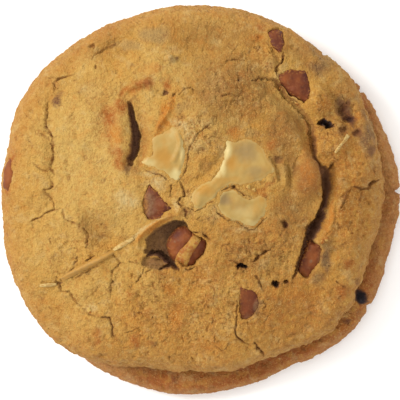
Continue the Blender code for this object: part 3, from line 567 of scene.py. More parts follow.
# darker chocolate, also used as painted shade
CHUNK_DARK_AND_SHADE = (0.056, 0.014, 0.010)
CHUNK_BLOOM = (0.165, 0.085, 0.042)
WHITE_MAIN = (0.325, 0.206, 0.052)
WHITE_CREAM = (0.465, 0.365, 0.150)
WHITE_GOLD = (0.345, 0.168, 0.022)
WHITE_GREY_AND_SHADE = (0.205, 0.130, 0.047)

# Colour marks on the chunks: the lit marks are painted light on the sides facing the light, the dark marks
# darker chocolate with painted shade on the far sides
CHUNK_DARK_AND_SHADE_SPOTS = (
    ((305, 76), (7, 9), 1.0), ((309, 92), (4, 14), 0.5), ((302, 103), (6, 5), 0.6),
    ((168, 208), (7, 9), 0.9), ((150, 192), (6, 8), 0.4), ((203, 250), (7, 15), 0.6),
    ((200, 235), (7, 5), 0.8), ((176, 234), (8, 6), 0.8), ((299, 258), (4, 18), 0.6),
    ((256, 312), (7, 10), 0.4), ((266, 40), (3, 12), 0.6), ((276, 42), (10, 13), 0.6),
    ((156, 202), (14, 18), 0.35),
    ((244, 296), (5, 6), 0.3),
)
CHUNK_LIT_SPOTS = (
    ((285, 80), (7, 9), 0.8), ((173, 250), (8, 14), 0.9), ((186, 238), (8, 8), 0.5),
    ((243, 294), (6, 9), 0.8), ((303, 272), (7, 7), 0.7), ((312, 258), (9, 17), 0.8),
    ((156, 204), (8, 8), 0.5), ((10, 176), (8, 20), 1.0),
)
# grey bloom; the small dot at (311, 261) on the right chunk is a painted highlight
CHUNK_BLOOM_AND_HIGHLIGHT_SPOTS = (
    ((147, 205), (12, 18), 1.0), ((258, 308), (6, 14), 0.9), ((322, 262), (6, 18), 0.7),
    ((308, 68), (6, 5), 0.4), ((250, 318), (10, 5), 0.6), ((311, 261), (2.2, 2.2), 1.0),
    ((175, 242), (2, 2), 0.8), ((180, 240), (1.6, 1.6), 0.6),
)
# Dough dusted over the chunks
CHUNK_DUST_SPOTS = (
    ((143, 206), (8, 22), 0.9), ((238, 304), (5, 18), 0.7), ((256, 317), (8, 6), 0.5),
    ((323, 258), (5, 20), 0.6), ((302, 277), (5, 5), 0.5), ((280, 74), (5, 5), 0.4),
    ((270, 52), (6, 5), 0.6),
)
# Colour marks on the white chocolate
WHITE_GOLD_SPOTS = (
    ((163, 157), (14, 13), 0.9), ((232, 163), (9, 11), 1.0), ((205, 190), (14, 10), 0.9),
    ((262, 197), (6, 12), 0.8), ((232, 180), (16, 6), 0.5), ((265, 180), (10, 6), 0.5),
    ((256, 208), (6, 14), 0.4), ((168, 130), (6, 4), 0.7),
)
WHITE_CREAM_SPOTS = (
    ((227, 150), (8, 15), 1.0), ((222, 165), (6, 14), 1.0), ((177, 176), (11, 11), 1.0),
    ((183, 148), (4, 22), 0.8), ((172, 134), (6, 9), 0.3), ((148, 163), (12, 6), 0.8),
    ((244, 212), (16, 10), 0.4), ((216, 174), (6, 6), 0.7), ((274, 170), (3, 6), 0.8),
    ((250, 222), (12, 5), 0.5),
)
# Where the edge of the white chocolate fades into the dough
WHITE_FADING_SPOTS = (
    ((271, 167), (9, 22), 1.0), ((250, 186), (26, 8), 1.0), ((250, 196), (16, 6), 1.0),
    ((250, 140), (18, 6), 0.8), ((268, 206), (5, 14), 0.8), ((150, 150), (9, 22), 1.0),
    ((160, 131), (14, 8), 1.0),
)
# greyish white chocolate, with painted shade on the upper piece's right and beside the raised tongue
WHITE_GREY_AND_SHADE_SPOTS = (
    ((246, 152), (18, 16), 0.8), ((256, 172), (16, 10), 0.6), ((225, 200), (9, 9), 1.0),
    ((236, 207), (12, 10), 0.3),
)

# Light, camera and floor, with angles in degrees
SKY_COLOUR = (1.0, 0.985, 0.96)
SKY_STRENGTH = 1.22
KEY_COLOUR = (1.0, 0.97, 0.93)
KEY_STRENGTH = 2.9
KEY_SOFTNESS = 28.0
KEY_TILT = 54.0
KEY_TURN = -24.0
CAMERA_LENS = 800.0
CAMERA_SENSOR = 36.0
FLOOR_SIZE = 3.0
FLOOR_DROP = 0.05 * MM
FLOOR_COLOUR = (0.95, 0.95, 0.95)


def place(point):
    """Photo pixel to metres on the cookie."""
    return (point[0] - PHOTO_CENTRE[0]) * PIXEL, (PHOTO_CENTRE[1] - point[1]) * PIXEL


def smoothstep(low, high, value):
    share = np.clip((value - low) / (high - low), 0.0, 1.0)
    return share * share * (3.0 - 2.0 * share)


def catmull_rom(before, start, end, after, share):
    slope_in = 0.5 * (end - before)
    slope_out = 0.5 * (after - start)
    square = share * share
    cube = square * share
    return (
        (2.0 * cube - 3.0 * square + 1.0) * start
        + (cube - 2.0 * square + share) * slope_in
        + (3.0 * square - 2.0 * cube) * end
        + (cube - square) * slope_out
    )


def smooth_line(points, steps, closed=False):
    """A curve through points of any number of values, with some steps to each stretch."""
    points = np.asarray(points, float)
    count = len(points)
    share = np.linspace(0.0, 1.0, steps, endpoint=False)[:, None]
    parts = []
    for index in range(count if closed else count - 1):
        near = np.arange(index - 1, index + 3)
        near = near % count if closed else np.clip(near, 0, count - 1)
        parts.append(catmull_rom(*points[near], share))
    if not closed:
        parts.append(points[-1:])
    return np.concatenate(parts)


def edge_radius(edge, angle):
    """Radius of a closed outline at each angle, smoothly between its points."""
    degrees = np.array([point[0] for point in edge], float)
    radii = np.array([point[1] for point in edge], float) * PIXEL
    count = len(edge)
    turned = np.degrees(angle) % 360.0
    lower = np.searchsorted(degrees, turned, side="right") - 1
    start = np.where(lower < 0, degrees[-1] - 360.0, degrees[lower])
    end = degrees[(lower + 1) % count]
    end = np.where(end < start, end + 360.0, end)
    share = (turned - start) / (end - start)
    return catmull_rom(
        radii[(lower - 1) % count],
        radii[lower % count],
        radii[(lower + 1) % count],
        radii[(lower + 2) % count],
        share,
    )


def outer_radius(angle):
    radius = edge_radius(OUTER_EDGE, angle)
    turned = np.degrees(angle) % 360.0
    for middle, half, depth in EDGE_NICKS:
        away = np.abs((turned - middle + 180.0) % 360.0 - 180.0) / half
        radius = radius - depth * PIXEL * np.clip(1.0 - away, 0.0, 1.0)
    return radius


def path_lengths(points):
    steps = np.linalg.norm(np.diff(points, axis=0), axis=1)
    return np.concatenate(([0.0], np.cumsum(steps)))


def along_path(x, y, points, reach):
    """The places within reach of a path, their distance from it and the length passed."""
    passed_at = path_lengths(points)
    low = points.min(axis=0) - reach
    high = points.max(axis=0) + reach
    near = np.flatnonzero((x > low[0]) & (x < high[0]) & (y > low[1]) & (y < high[1]))
    near_x = x[near]
    near_y = y[near]
    best = np.full(near.shape, np.inf)
    passed = np.zeros(near.shape)
    for index, (start, end) in enumerate(zip(points[:-1], points[1:])):
        line = end - start
        length = passed_at[index + 1] - passed_at[index]
        share = ((near_x - start[0]) * line[0] + (near_y - start[1]) * line[1]) / length**2
        share = np.clip(share, 0.0, 1.0)
        distance = np.hypot(near_x - start[0] - share * line[0], near_y - start[1] - share * line[1])
        nearer = distance < best
        best = np.where(nearer, distance, best)
        passed = np.where(nearer, passed_at[index] + share * length, passed)
    return near, best, passed


def line_field(x, y, lines, core=0.0):
    """Value of lines that fade from their middle to their edge, the largest where they meet."""
    total = np.zeros(x.shape)
    for line in lines:
        knots = smooth_line(line, 4)
        middle = np.column_stack(place(knots.T[:2]))
        half = 0.5 * PIXEL * knots[:, 2]
        near, distance, passed = along_path(x, y, middle, half.max())
        lengths = path_lengths(middle)
        across = distance / np.interp(passed, lengths, half)
        value = np.interp(passed, lengths, knots[:, 3]) * (1.0 - smoothstep(core, 1.0, across))
        total[near] = np.maximum(total[near], value)
    return total


def inside_depth(x, y, outline, reach):
    """Distance to an outline, positive inside it."""
    closed = np.vstack((outline, outline[:1]))
    near, distance, _ = along_path(x, y, closed, reach)
    near_x = x[near]
    near_y = y[near]
    inside = np.zeros(near.shape, bool)
    for start, end in zip(closed[:-1], closed[1:]):
        crosses = (start[1] > near_y) != (end[1] > near_y)
        if start[1] != end[1]:
            edge_x = start[0] + (near_y - start[1]) / (end[1] - start[1]) * (end[0] - start[0])
            inside ^= crosses & (near_x < edge_x)
    depth = np.full(x.shape, -reach)
    depth[near] = np.where(inside, distance, -distance)
    return depth


def spot(x, y, centre, half_sizes, core=0.25):
    """1 in the middle of an oval, 0 from its edge outwards."""
    centre_x, centre_y = place(centre)
    across = (x - centre_x) / (half_sizes[0] * PIXEL)
    along = (y - centre_y) / (half_sizes[1] * PIXEL)
    return 1.0 - smoothstep(core, 1.0, np.hypot(across, along))


def spots(x, y, listed, core=0.15):
    total = np.zeros(x.shape)
    for centre, half_sizes, strength in listed:
        total = np.maximum(total, strength * spot(x, y, centre, half_sizes, core))
    return total


def waves(x, y, z, length, seed):
    """Smooth unevenness of about unit height and the given wave length."""
    source = np.random.default_rng(seed)
    total = np.zeros(x.shape)
    count = 24
    for _ in range(count):
        direction = source.normal(size=3)
        direction /= np.linalg.norm(direction)
        stretch = source.uniform(0.7, 1.5)
        phase = source.uniform(0.0, 2.0 * math.pi)
        run = x * direction[0] + y * direction[1] + z * direction[2]
        total += np.sin(2.0 * math.pi * run * stretch / length + phase)
    return total / math.sqrt(count / 2.0)


def grain(points, length, seed):
    """Gradient noise of about unit height with lumps of the given length."""
    size = NOISE_CELLS
    source = np.random.default_rng(seed)
    slopes = source.normal(size=(size**3, 3))
    slopes /= np.linalg.norm(slopes, axis=1, keepdims=True)
    scaled = (points / length + 100.0).astype(np.float32)
    cell = np.floor(scaled).astype(np.int64)
    inner = scaled - cell
    blend = inner * inner * inner * (inner * (inner * 6.0 - 15.0) + 10.0)
    total = np.zeros(len(points))
    for corner in np.ndindex(2, 2, 2):
        at = (cell + corner) % size
        slope = slopes[(at[:, 0] * size + at[:, 1]) * size + at[:, 2]]
        weight = np.ones(len(points))
        for axis in range(3):
            weight = weight * (blend[:, axis] if corner[axis] else 1.0 - blend[:, axis])
        total += weight * np.einsum("ij,ij->i", slope, inner - corner)
    return 2.0 * total


def dome_height(x, y):
    centre_x, centre_y = place(DOME_CENTRE)
    share = np.hypot(x - centre_x, y - centre_y) / DOME_RADIUS
    rise = 1.0 - np.minimum(share, 1.15) ** DOME_POWER
    return SHOULDER_HEIGHT + (DOME_HEIGHT - SHOULDER_HEIGHT) * rise


def crust_form(x, y):
    """Swellings, folds and soft hollows of the crust."""
    height = MM * (line_field(x, y, RIDGES) - line_field(x, y, VALLEYS))
    for centre, half_sizes, swell in SWELLINGS:
        height = height + swell * MM * spot(x, y, centre, half_sizes)
    return height


def unevenness(points):
    """Broad bumps of the dough."""
    x, y, z = points.T
    broad = UNDULATION * waves(x, y, z, UNDULATION_LENGTH, seed=3)
    return broad + LUMPS * grain(points, LUMP_LENGTH, 31)


def crust_level(x, y):
    """Height of the crust before its crumbs, cracks and openings."""
    z = dome_height(x, y)
    return z + crust_form(x, y) + unevenness(np.column_stack((x, y, z)))


def profile_lines(angle):
    """Radius and height of each line of the rim profile at each angle."""
    outer = outer_radius(angle)
    tier = np.minimum(edge_radius(TIER_EDGE, angle), outer)
    shown = smoothstep(0.0, 10.0 * PIXEL, outer - tier)
    rim = np.column_stack((tier * np.cos(angle), tier * np.sin(angle), 0.0 * angle))
    tier = tier + shown * TIER_FRAY * (grain(rim, 3.4 * MM, 6) + 0.5 * grain(rim, 1.2 * MM, 7))
    base = outer - (1.0 - shown) * HIDDEN_BASE_INSET * PIXEL
    crease = np.minimum(tier, base) - HIDDEN_CREASE_DEPTH
    crease = crease - (CREASE_DEPTH - HIDDEN_CREASE_DEPTH) * shown
    shoulder = edge_radius(TIER_EDGE, angle) - SHOULDER_WIDTH
    top_edge = dome_height(shoulder * np.cos(angle), shoulder * np.sin(angle))
    radii = (
        shoulder,
        tier - SHOULDER_ROUND,
        tier,
        tier - TIER_UNDERCUT,
        crease,
        base - BASE_ROUND,
        base,
        base - FOOT_ROUND,
    )
    level = np.ones(angle.shape)
    wander = waves(outer * np.cos(angle), outer * np.sin(angle), 0.0 * angle, CREASE_WAVE, seed=5)
    wander = CREASE_WANDER * wander
    heights = (
        top_edge,
        TIER_BULGE_HEIGHT + SHOULDER_RISE * (top_edge - TIER_BULGE_HEIGHT),
        TIER_BULGE_HEIGHT + 0.5 * wander,
        0.5 * (TIER_BULGE_HEIGHT + CREASE_HEIGHT) + wander,
        CREASE_HEIGHT + wander,
        BASE_TOP_HEIGHT + wander,
        BASE_BULGE_HEIGHT * level,
        0.0 * level,
    )
    return radii, heights


def rim_point(ring, angle):
    """Radius and height on the rim for ring shares from the shoulder to the foot."""
    radii, heights = profile_lines(angle)
    radius = np.array(radii[-1])
    height = np.array(heights[-1])
    last = len(PROFILE_RINGS) - 2
    for index, (start, end) in enumerate(zip(PROFILE_RINGS[:-1], PROFILE_RINGS[1:])):
        here = (ring >= start) & (ring <= end)
        share = np.clip((ring - start) / (end - start), 0.0, 1.0)
        line = (max(index - 1, 0), index, index + 1, min(index + 2, last + 1))
        radius = np.where(here, catmull_rom(*(radii[step] for step in line), share), radius)
        height = np.where(here, catmull_rom(*(heights[step] for step in line), share), height)
    return radius, height, radii[0]


def square_to_ring(u, v):
    """Ring share and angle of a point of the square grid, its rings being squares."""
    ring = np.maximum(np.abs(u), np.abs(v))
    safe_u = np.where(np.abs(u) < 1e-9, 1e-9, u)
    safe_v = np.where(np.abs(v) < 1e-9, 1e-9, v)
    quarter = 0.25 * math.pi
    angle = np.where(
        np.abs(u) >= np.abs(v),
        quarter * v / safe_u + np.where(u < 0.0, math.pi, 0.0),
        2.0 * quarter - quarter * u / safe_v + np.where(v < 0.0, math.pi, 0.0),
    )
    return ring, angle


def read_points(mesh, field="co"):
    values = np.empty(3 * len(mesh.vertices))
    mesh.vertices.foreach_get(field, values)
    return values.reshape(-1, 3)


def write_points(mesh, points):
    mesh.vertices.foreach_set("co", np.ascontiguousarray(points, float).ravel())
    mesh.update()


def set_attribute(mesh, name, values):
    layer = mesh.attributes.new(name, "FLOAT", "POINT")
    layer.data.foreach_set("value", np.asarray(values, np.float32))


def baked_mesh(obj):
    """The object's mesh with its modifiers worked in."""
    graph = bpy.context.evaluated_depsgraph_get()
    return bpy.data.meshes.new_from_object(obj.evaluated_get(graph))


def cells(points, length, seed):
    """Distance to the nearest of scattered centres and the gap to the next, in cell lengths."""
    size = NOISE_CELLS
    source = np.random.default_rng(seed)
    centres = source.uniform(0.0, 1.0, (size**3, 3)).astype(np.float32)
    scaled = (points / length + 100.0).astype(np.float32)
    cell = np.floor(scaled).astype(np.int64)
    inner = (scaled - cell).astype(np.float32)
    nearest = np.full(len(points), 9.0, np.float32)
    second = nearest.copy()
    for step in np.ndindex(3, 3, 3):
        move = np.array(step) - 1
        at = (cell + move) % size
        offset = centres[(at[:, 0] * size + at[:, 1]) * size + at[:, 2]]
        distance = np.linalg.norm(offset + move.astype(np.float32) - inner, axis=1)
        second = np.minimum(second, np.maximum(nearest, distance))
        nearest = np.minimum(nearest, distance)
    return nearest, second - nearest


def ragged(x, y, amount=1.0):
    """Plan positions shifted a little, so that cracks and edges look torn."""
    flat = np.column_stack((x, y, 0.0 * x))
    for length, size, step in ((1.7 * MM, 0.30 * MM, 0), (0.6 * MM, 0.17 * MM, 2)):
        x = x + amount * size * grain(flat, length, RAG_SEED + step)
        y = y + amount * size * grain(flat, length, RAG_SEED + step + 1)
    return x, y


def crack_fields(x, y, points):
    """Depth of the cracks and height of the lips beside them."""
    depth = np.zeros(x.shape)
    lip = np.zeros(x.shape)
    broken = 0.45 + 0.55 * smoothstep(-0.35, 0.25, grain(points, 1.3 * MM, 61))
    for path, width, deep in CRACKS:
        line = np.column_stack(place(np.array(path, float).T))
        near, distance, passed = along_path(x, y, line, 1.6 * width * PIXEL)
        share = passed / path_lengths(line)[-1]
        ends = smoothstep(0.0, 0.2, share) * (1.0 - smoothstep(0.8, 1.0, share))
        half = 0.5 * CRACK_SPREAD * width * PIXEL * (0.4 + 0.6 * ends)
        half = half * (0.5 + 0.5 * broken[near])
        across = distance / half
        value = CRACK_SHARE * deep * MM * (0.5 + 0.5 * ends) * (1.0 - smoothstep(0.1, 1.0, across))
        depth[near] = np.maximum(depth[near], broken[near] * value)
        side = smoothstep(0.8, 1.3, across) * (1.0 - smoothstep(1.3, 2.6, across))
        lip[near] = np.maximum(lip[near], 0.08 * MM * side)
    return depth, lip


def pit_depth(x, y):
    depth = np.zeros(x.shape)
    for centre, half_sizes, deep in PITS:
        depth = np.maximum(depth, deep * MM * spot(x, y, centre, half_sizes, 0.5))
    return depth


def plan_outline(outline, steps=6):
    return np.column_stack(place(smooth_line(outline, steps, closed=True).T))


def recess_depth(x, y):
    """How far the dough gives way under the chunks and the white chocolate."""
    depth = np.zeros(x.shape)
    beds = [(chunk[1], CHUNK_BED, CHUNK_LAP) for chunk in CHUNKS]
    beds += [(white[1], WHITE_BED, WHITE_LAP) for white in WHITES]
    flat = np.column_stack((x, y, 0.0 * x))
    fray = LAP_FRAY * grain(flat, 0.9 * MM, 62)
    for outline, bed, lap in beds:
        inside = inside_depth(x, y, plan_outline(outline), 4.0 * PIXEL) - lap - fray
        depth = np.maximum(depth, bed * smoothstep(0.0, BED_WALL, inside))
    return depth


def opening_depth(x, y):
    """Depth of the gorge, the slot and the arc in the hollow at places ragged already."""
    depth = line_field(x, y, (GORGE,), GORGE_CORE)
    depth = np.maximum(depth, line_field(x, y, (SLOT,), SLOT_CORE))
    return MM * np.maximum(depth, line_field(x, y, HOLLOW_ARC, ARC_CORE))


def sunk_depth(x, y, points):
    """How far the crust is sunk by its cracks, openings, pits and the beds of its pieces."""
    torn_x, torn_y = ragged(x, y)
    cracks, _ = crack_fields(torn_x, torn_y, points)
    sunk = np.maximum(cracks, opening_depth(torn_x, torn_y))
    sunk = np.maximum(sunk, MM * line_field(torn_x, torn_y, HOLLOW, HOLLOW_CORE))
    sunk = np.maximum(sunk, pit_depth(*ragged(x, y, PIT_RAG)))
    return np.maximum(sunk, recess_depth(*ragged(x, y, PIECE_RAG)))


def coarseness(x, y):
    return 0.55 + 0.75 * spots(x, y, COARSE_SPOTS, 0.3) - 0.4 * spots(x, y, SMOOTH_SPOTS, 0.3)


def shifts(points, length, seed, axes=3):
    """Noise along each axis."""
    return np.column_stack([grain(points, length, seed + axis) for axis in range(axes)])


def torn_points(points, amount):
    """Points shifted by fine noise, so that what is worked out at them looks torn."""
    return points + amount * shifts(points, TEAR_LENGTH, 51)


def loose_places(points, amount, length, seed):
    """Plan positions shifted by noise, so that the marks at them have uneven edges."""
    return (points[:, :2] + amount * shifts(points, length, seed, 2)).T


def hair_cracks(torn, coarse):
    """A net of fine cracks between crumbs, broken into patches: 1 in them, 0 beside them."""
    _, gap = cells(torn, 2.3 * MM, 35)
    _, small_gap = cells(torn, 1.2 * MM, 36)
    patches = smoothstep(0.45, 0.65, grain(torn, 2.6 * MM, 37) + 0.7 * (coarse - 0.8))
    small_patches = smoothstep(0.45, 0.7, grain(torn, 1.8 * MM, 38) + 0.8 * (coarse - 0.8))
    wide = patches * (1.0 - smoothstep(0.01, 0.08, gap))
    fine = 0.8 * small_patches * (1.0 - smoothstep(0.02, 0.13, small_gap))
    return np.maximum(wide, fine)


def short_cracks(torn):
    """Short upright cracks, far apart."""
    tall = torn * np.array((1.0, 0.4, 1.0))
    _, gap = cells(tall, 1.5 * MM, 39)
    return smoothstep(0.5, 0.7, grain(torn, 1.7 * MM, 40)) * (1.0 - smoothstep(0.02, 0.11, gap))


def crumb_relief(points, x, y):
    """Fine relief of the crust: crumbs, holes and hair cracks."""
    coarse = coarseness(x, y)
    torn = torn_points(points, CRUMB_TEAR)
    small, _ = cells(torn, 0.52 * MM, 33)
    relief = (0.08 + 0.12 * coarse) * MM * grain(points, 2.3 * MM, 32)
    relief += (0.04 + 0.15 * coarse) * MM * grain(points, 1.0 * MM, 34)
    relief += (0.06 + 0.20 * coarse) * MM * (0.5 - small)
    relief -= (0.05 + 0.20 * coarse) * MM * smoothstep(0.38, 0.75, grain(torn, 0.9 * MM, 43))
    relief -= 0.18 * MM * hair_cracks(torn, coarse)
    relief -= 0.12 * MM * short_cracks(torn)
    return relief


def make_dough():
    bpy.ops.mesh.primitive_grid_add(x_subdivisions=GRID_CELLS, y_subdivisions=GRID_CELLS, size=2.0)
    shell = bpy.context.object
    mesh = shell.data
    flat = read_points(mesh)
    ring, angle = square_to_ring(flat[:, 0], flat[:, 1])
    rim_radius, rim_height, shoulder = rim_point(ring, angle)
    on_top = ring < TOP_RING
    radius = np.where(on_top, shoulder * ring / TOP_RING, rim_radius)
    x = radius * np.cos(angle)
    y = radius * np.sin(angle)
    z = np.where(on_top, dome_height(x, y), rim_height)
    smooth = np.column_stack((x, y, z))
    write_points(mesh, smooth)
    normals = read_points(mesh, "normal")

    foot = 1.0 - smoothstep(*FOOT_RINGS, ring)
    above = 1.0 - smoothstep(*TOP_END_RINGS, ring)
    on_base = smoothstep(*BASE_RINGS, ring)
    _, lips = crack_fields(*ragged(x, y), smooth)
    calm = 1.0 - RIM_CALM * smoothstep(*CALM_RINGS, ring)

    swell = calm * unevenness(smooth)
    swell += above * (crust_form(x, y) + lips - sunk_depth(x, y, smooth))
    swell += crumb_relief(smooth, x, y)
    swell -= on_base * BASE_HOLES * smoothstep(0.2, 0.6, grain(smooth, BASE_HOLE_LENGTH, 44))
    points = smooth + normals * (swell * foot)[:, None]
    points[:, 2] = np.maximum(points[:, 2], 0.0)
    write_points(mesh, points)

    thin = shell.modifiers.new("fewer_faces", "DECIMATE")
    thin.ratio = DOUGH_TRIANGLES / (2.0 * len(mesh.polygons))
    mesh = baked_mesh(shell)
    bpy.data.objects.remove(shell, do_unlink=True)
    close_foot(mesh)
    mesh.name = "dough_crust"
    obj = bpy.data.objects.new("dough_crust", mesh)
    bpy.context.scene.collection.objects.link(obj)
    paint_dough(mesh)
    return obj


def close_foot(mesh):
    """Closes the shell with its flat underside."""
    work = bmesh.new()
    work.from_mesh(mesh)
    rim = [edge for edge in work.edges if edge.is_boundary]
    for face in work.faces:
        face.smooth = True
    for edge in rim:
        edge.smooth = False
        for vertex in edge.verts:
            vertex.co.z = 0.0
    made = bmesh.ops.contextual_create(work, geom=rim)
    for face in made["faces"]:
        face.smooth = False
    bmesh.ops.recalc_face_normals(work, faces=work.faces)
    work.to_mesh(mesh)
    work.free()


def paint_dough(mesh):
    """Colour masks of the crust, one value a point."""
    points = read_points(mesh)
    x, y, z = points.T
    torn_x, torn_y = ragged(x, y)
    radius = np.hypot(x, y)
    angle = np.arctan2(y, x)
    outer = outer_radius(angle)
    tier = np.minimum(edge_radius(TIER_EDGE, angle), outer)
    low = 1.0 - smoothstep(5.2 * MM, 7.5 * MM, z)
    near_edge = smoothstep(28.0 * MM, 33.0 * MM, radius)
    cracks, _ = crack_fields(torn_x, torn_y, points)
    deep = opening_depth(torn_x, torn_y)
    blotted = ragged(x, y, PIT_RAG)
    pits = pit_depth(*blotted)
    torn = torn_points(points, CRUMB_TEAR)
    hair = np.maximum(hair_cracks(torn, coarseness(x, y)), short_cracks(torn))
    loose = loose_places(points, 0.7 * MM, 2.4 * MM, 41)
    toasted_lines = line_field(*loose, TOASTED_LINES, 0.2)
    cream_lines = line_field(*loose, CREAM_LINES, 0.3)
    orange_lines = line_field(*loose, ORANGE_LINES, 0.2)
    sunk = np.maximum(cracks / (0.6 * MM), np.maximum(pits / (1.0 * MM), deep / (1.2 * MM)))
    hollow = line_field(torn_x, torn_y, HOLLOW, 0.7)
    # how dark the painted shade in the openings, pits and hollow gets with depth
    deep_share = (np.maximum(deep, pits) - 1.0 * MM) / (1.6 * MM)
    masks = {
        "sunk": np.clip(sunk, 0.0, 1.0),
        "hair": hair,
        "hollow": np.clip(hollow / 1.4, 0.0, 1.0),
        "deep": np.clip(np.maximum(deep_share, 0.8 * (hollow - 2.5)), 0.0, 1.0),
        "cream": np.maximum(spots(*loose, CREAM_SPOTS), cream_lines),
        "olive": spots(*loose, OLIVE_SPOTS, 0.4),
        "base": low * near_edge,
        "light_base": spots(*loose, LIGHT_BASE_SPOTS),
        "warm": spots(*loose, WARM_SPOTS),
        "base_edge": smoothstep(-1.6 * MM, -0.3 * MM, radius - outer),
        "rim": smoothstep(-6.0 * MM, 0.3 * MM, radius - tier),
        "toasted": np.maximum(spots(*loose, TOASTED_SPOTS, 0.3), toasted_lines),
        "orange": np.maximum(spots(*loose, ORANGE_SPOTS), orange_lines),
        "tan_and_shade": spots(*loose, TAN_AND_SHADE_SPOTS),
        "film": spots(*loose, FILM_SPOTS),
        "dark_and_shade": spots(*blotted, DARK_AND_SHADE_SPOTS, 0.45),
        "pit_shade": spots(*blotted, PIT_SHADE_SPOTS, 0.5),
        "pale": spots(*loose, PALE_AND_LIT_SPOTS),
        "coarse": spots(x, y, COARSE_SPOTS, 0.3),
    }
    for name, values in masks.items():
        set_attribute(mesh, name, values)


class Shader:
    """A Principled material and short ways to add nodes to it."""

    def __init__(self, name):
        self.material = bpy.data.materials.new(name)
        self.material.use_nodes = True
        self.tree = self.material.node_tree
        self.principled = self.tree.nodes["Principled BSDF"]
        self.coordinates = self.tree.nodes.new("ShaderNodeTexCoord").outputs["Object"]

    def link(self, source, target):
        self.tree.links.new(source, target)

    def attribute(self, name):
        node = self.tree.nodes.new("ShaderNodeAttribute")
        node.attribute_name = name
        return node.outputs["Fac"]

    def stretched(self, scale):
        node = self.tree.nodes.new("ShaderNodeMapping")
        node.inputs["Scale"].default_value = scale
        self.link(self.coordinates, node.inputs["Vector"])
        return node.outputs["Vector"]

    def noise(self, length, detail=4.0, roughness=0.55, vector=None):
        node = self.tree.nodes.new("ShaderNodeTexNoise")
        node.inputs["Scale"].default_value = 1.0 / length
        node.inputs["Detail"].default_value = detail
        node.inputs["Roughness"].default_value = roughness
        self.link(vector or self.coordinates, node.inputs["Vector"])
        return node.outputs["Fac"]

    def ramp(self, value, low, high, start=0.0, end=1.0):
        node = self.tree.nodes.new("ShaderNodeMapRange")
        node.interpolation_type = "SMOOTHSTEP"
        node.inputs["From Min"].default_value = low
        node.inputs["From Max"].default_value = high
        node.inputs["To Min"].default_value = start
        node.inputs["To Max"].default_value = end
        self.link(value, node.inputs["Value"])
        return node.outputs["Result"]

    def math(self, operation, first, second=0.0):
        node = self.tree.nodes.new("ShaderNodeMath")
        node.operation = operation
        for socket, value in zip(node.inputs, (first, second)):
            if isinstance(value, (int, float)):
                socket.default_value = value
            else:
                self.link(value, socket)
        return node.outputs["Value"]

    def times(self, first, second):
        return self.math("MULTIPLY", first, second)

    def plus(self, first, second):
        return self.math("ADD", first, second)

    def torn(self, length, amount):
        """Coordinates shifted by noise, so that the cells made from them look torn."""
        noise = self.tree.nodes.new("ShaderNodeTexNoise")
        noise.inputs["Scale"].default_value = 1.0 / length
        self.link(self.coordinates, noise.inputs["Vector"])
        shift = self.tree.nodes.new("ShaderNodeVectorMath")
        shift.operation = "MULTIPLY_ADD"
        self.link(noise.outputs["Color"], shift.inputs[0])
        shift.inputs[1].default_value = (amount, amount, amount)
        self.link(self.coordinates, shift.inputs[2])
        return shift.outputs["Vector"]

    def crumbs(self, length, vector):
        """Distance from the middle of each crumb."""
        node = self.tree.nodes.new("ShaderNodeTexVoronoi")
        node.inputs["Scale"].default_value = 1.0 / length
        self.link(vector, node.inputs["Vector"])
        return node.outputs["Distance"]

    def mix(self, share, first, second):
        node = self.tree.nodes.new("ShaderNodeMix")
        node.data_type = "RGBA"
        self.link(share, node.inputs["Factor"])
        for socket, value in ((node.inputs["A"], first), (node.inputs["B"], second)):
            if isinstance(value, tuple):
                socket.default_value = (*value, 1.0)
            else:
                self.link(value, socket)
        return node.outputs["Result"]

    def coat(self, colour, name, noise, limits, paint):
        """Adds a paint where the mask of that name is, unevenly along a ramp of the noise."""
        share = self.times(self.attribute(name), self.ramp(noise, *limits))
        return self.mix(share, colour, paint)

    def bump(self, height, distance, strength=1.0):
        node = self.tree.nodes.new("ShaderNodeBump")
        node.inputs["Strength"].default_value = strength
        node.inputs["Distance"].default_value = distance
        self.link(height, node.inputs["Height"])
        return node.outputs["Normal"]

    def finish(self, colour, roughness, normal, specular=0.3):
        self.link(colour, self.principled.inputs["Base Color"])
        self.link(roughness, self.principled.inputs["Roughness"])
        self.link(normal, self.principled.inputs["Normal"])
        self.principled.inputs["Specular IOR Level"].default_value = specular
        return self.material


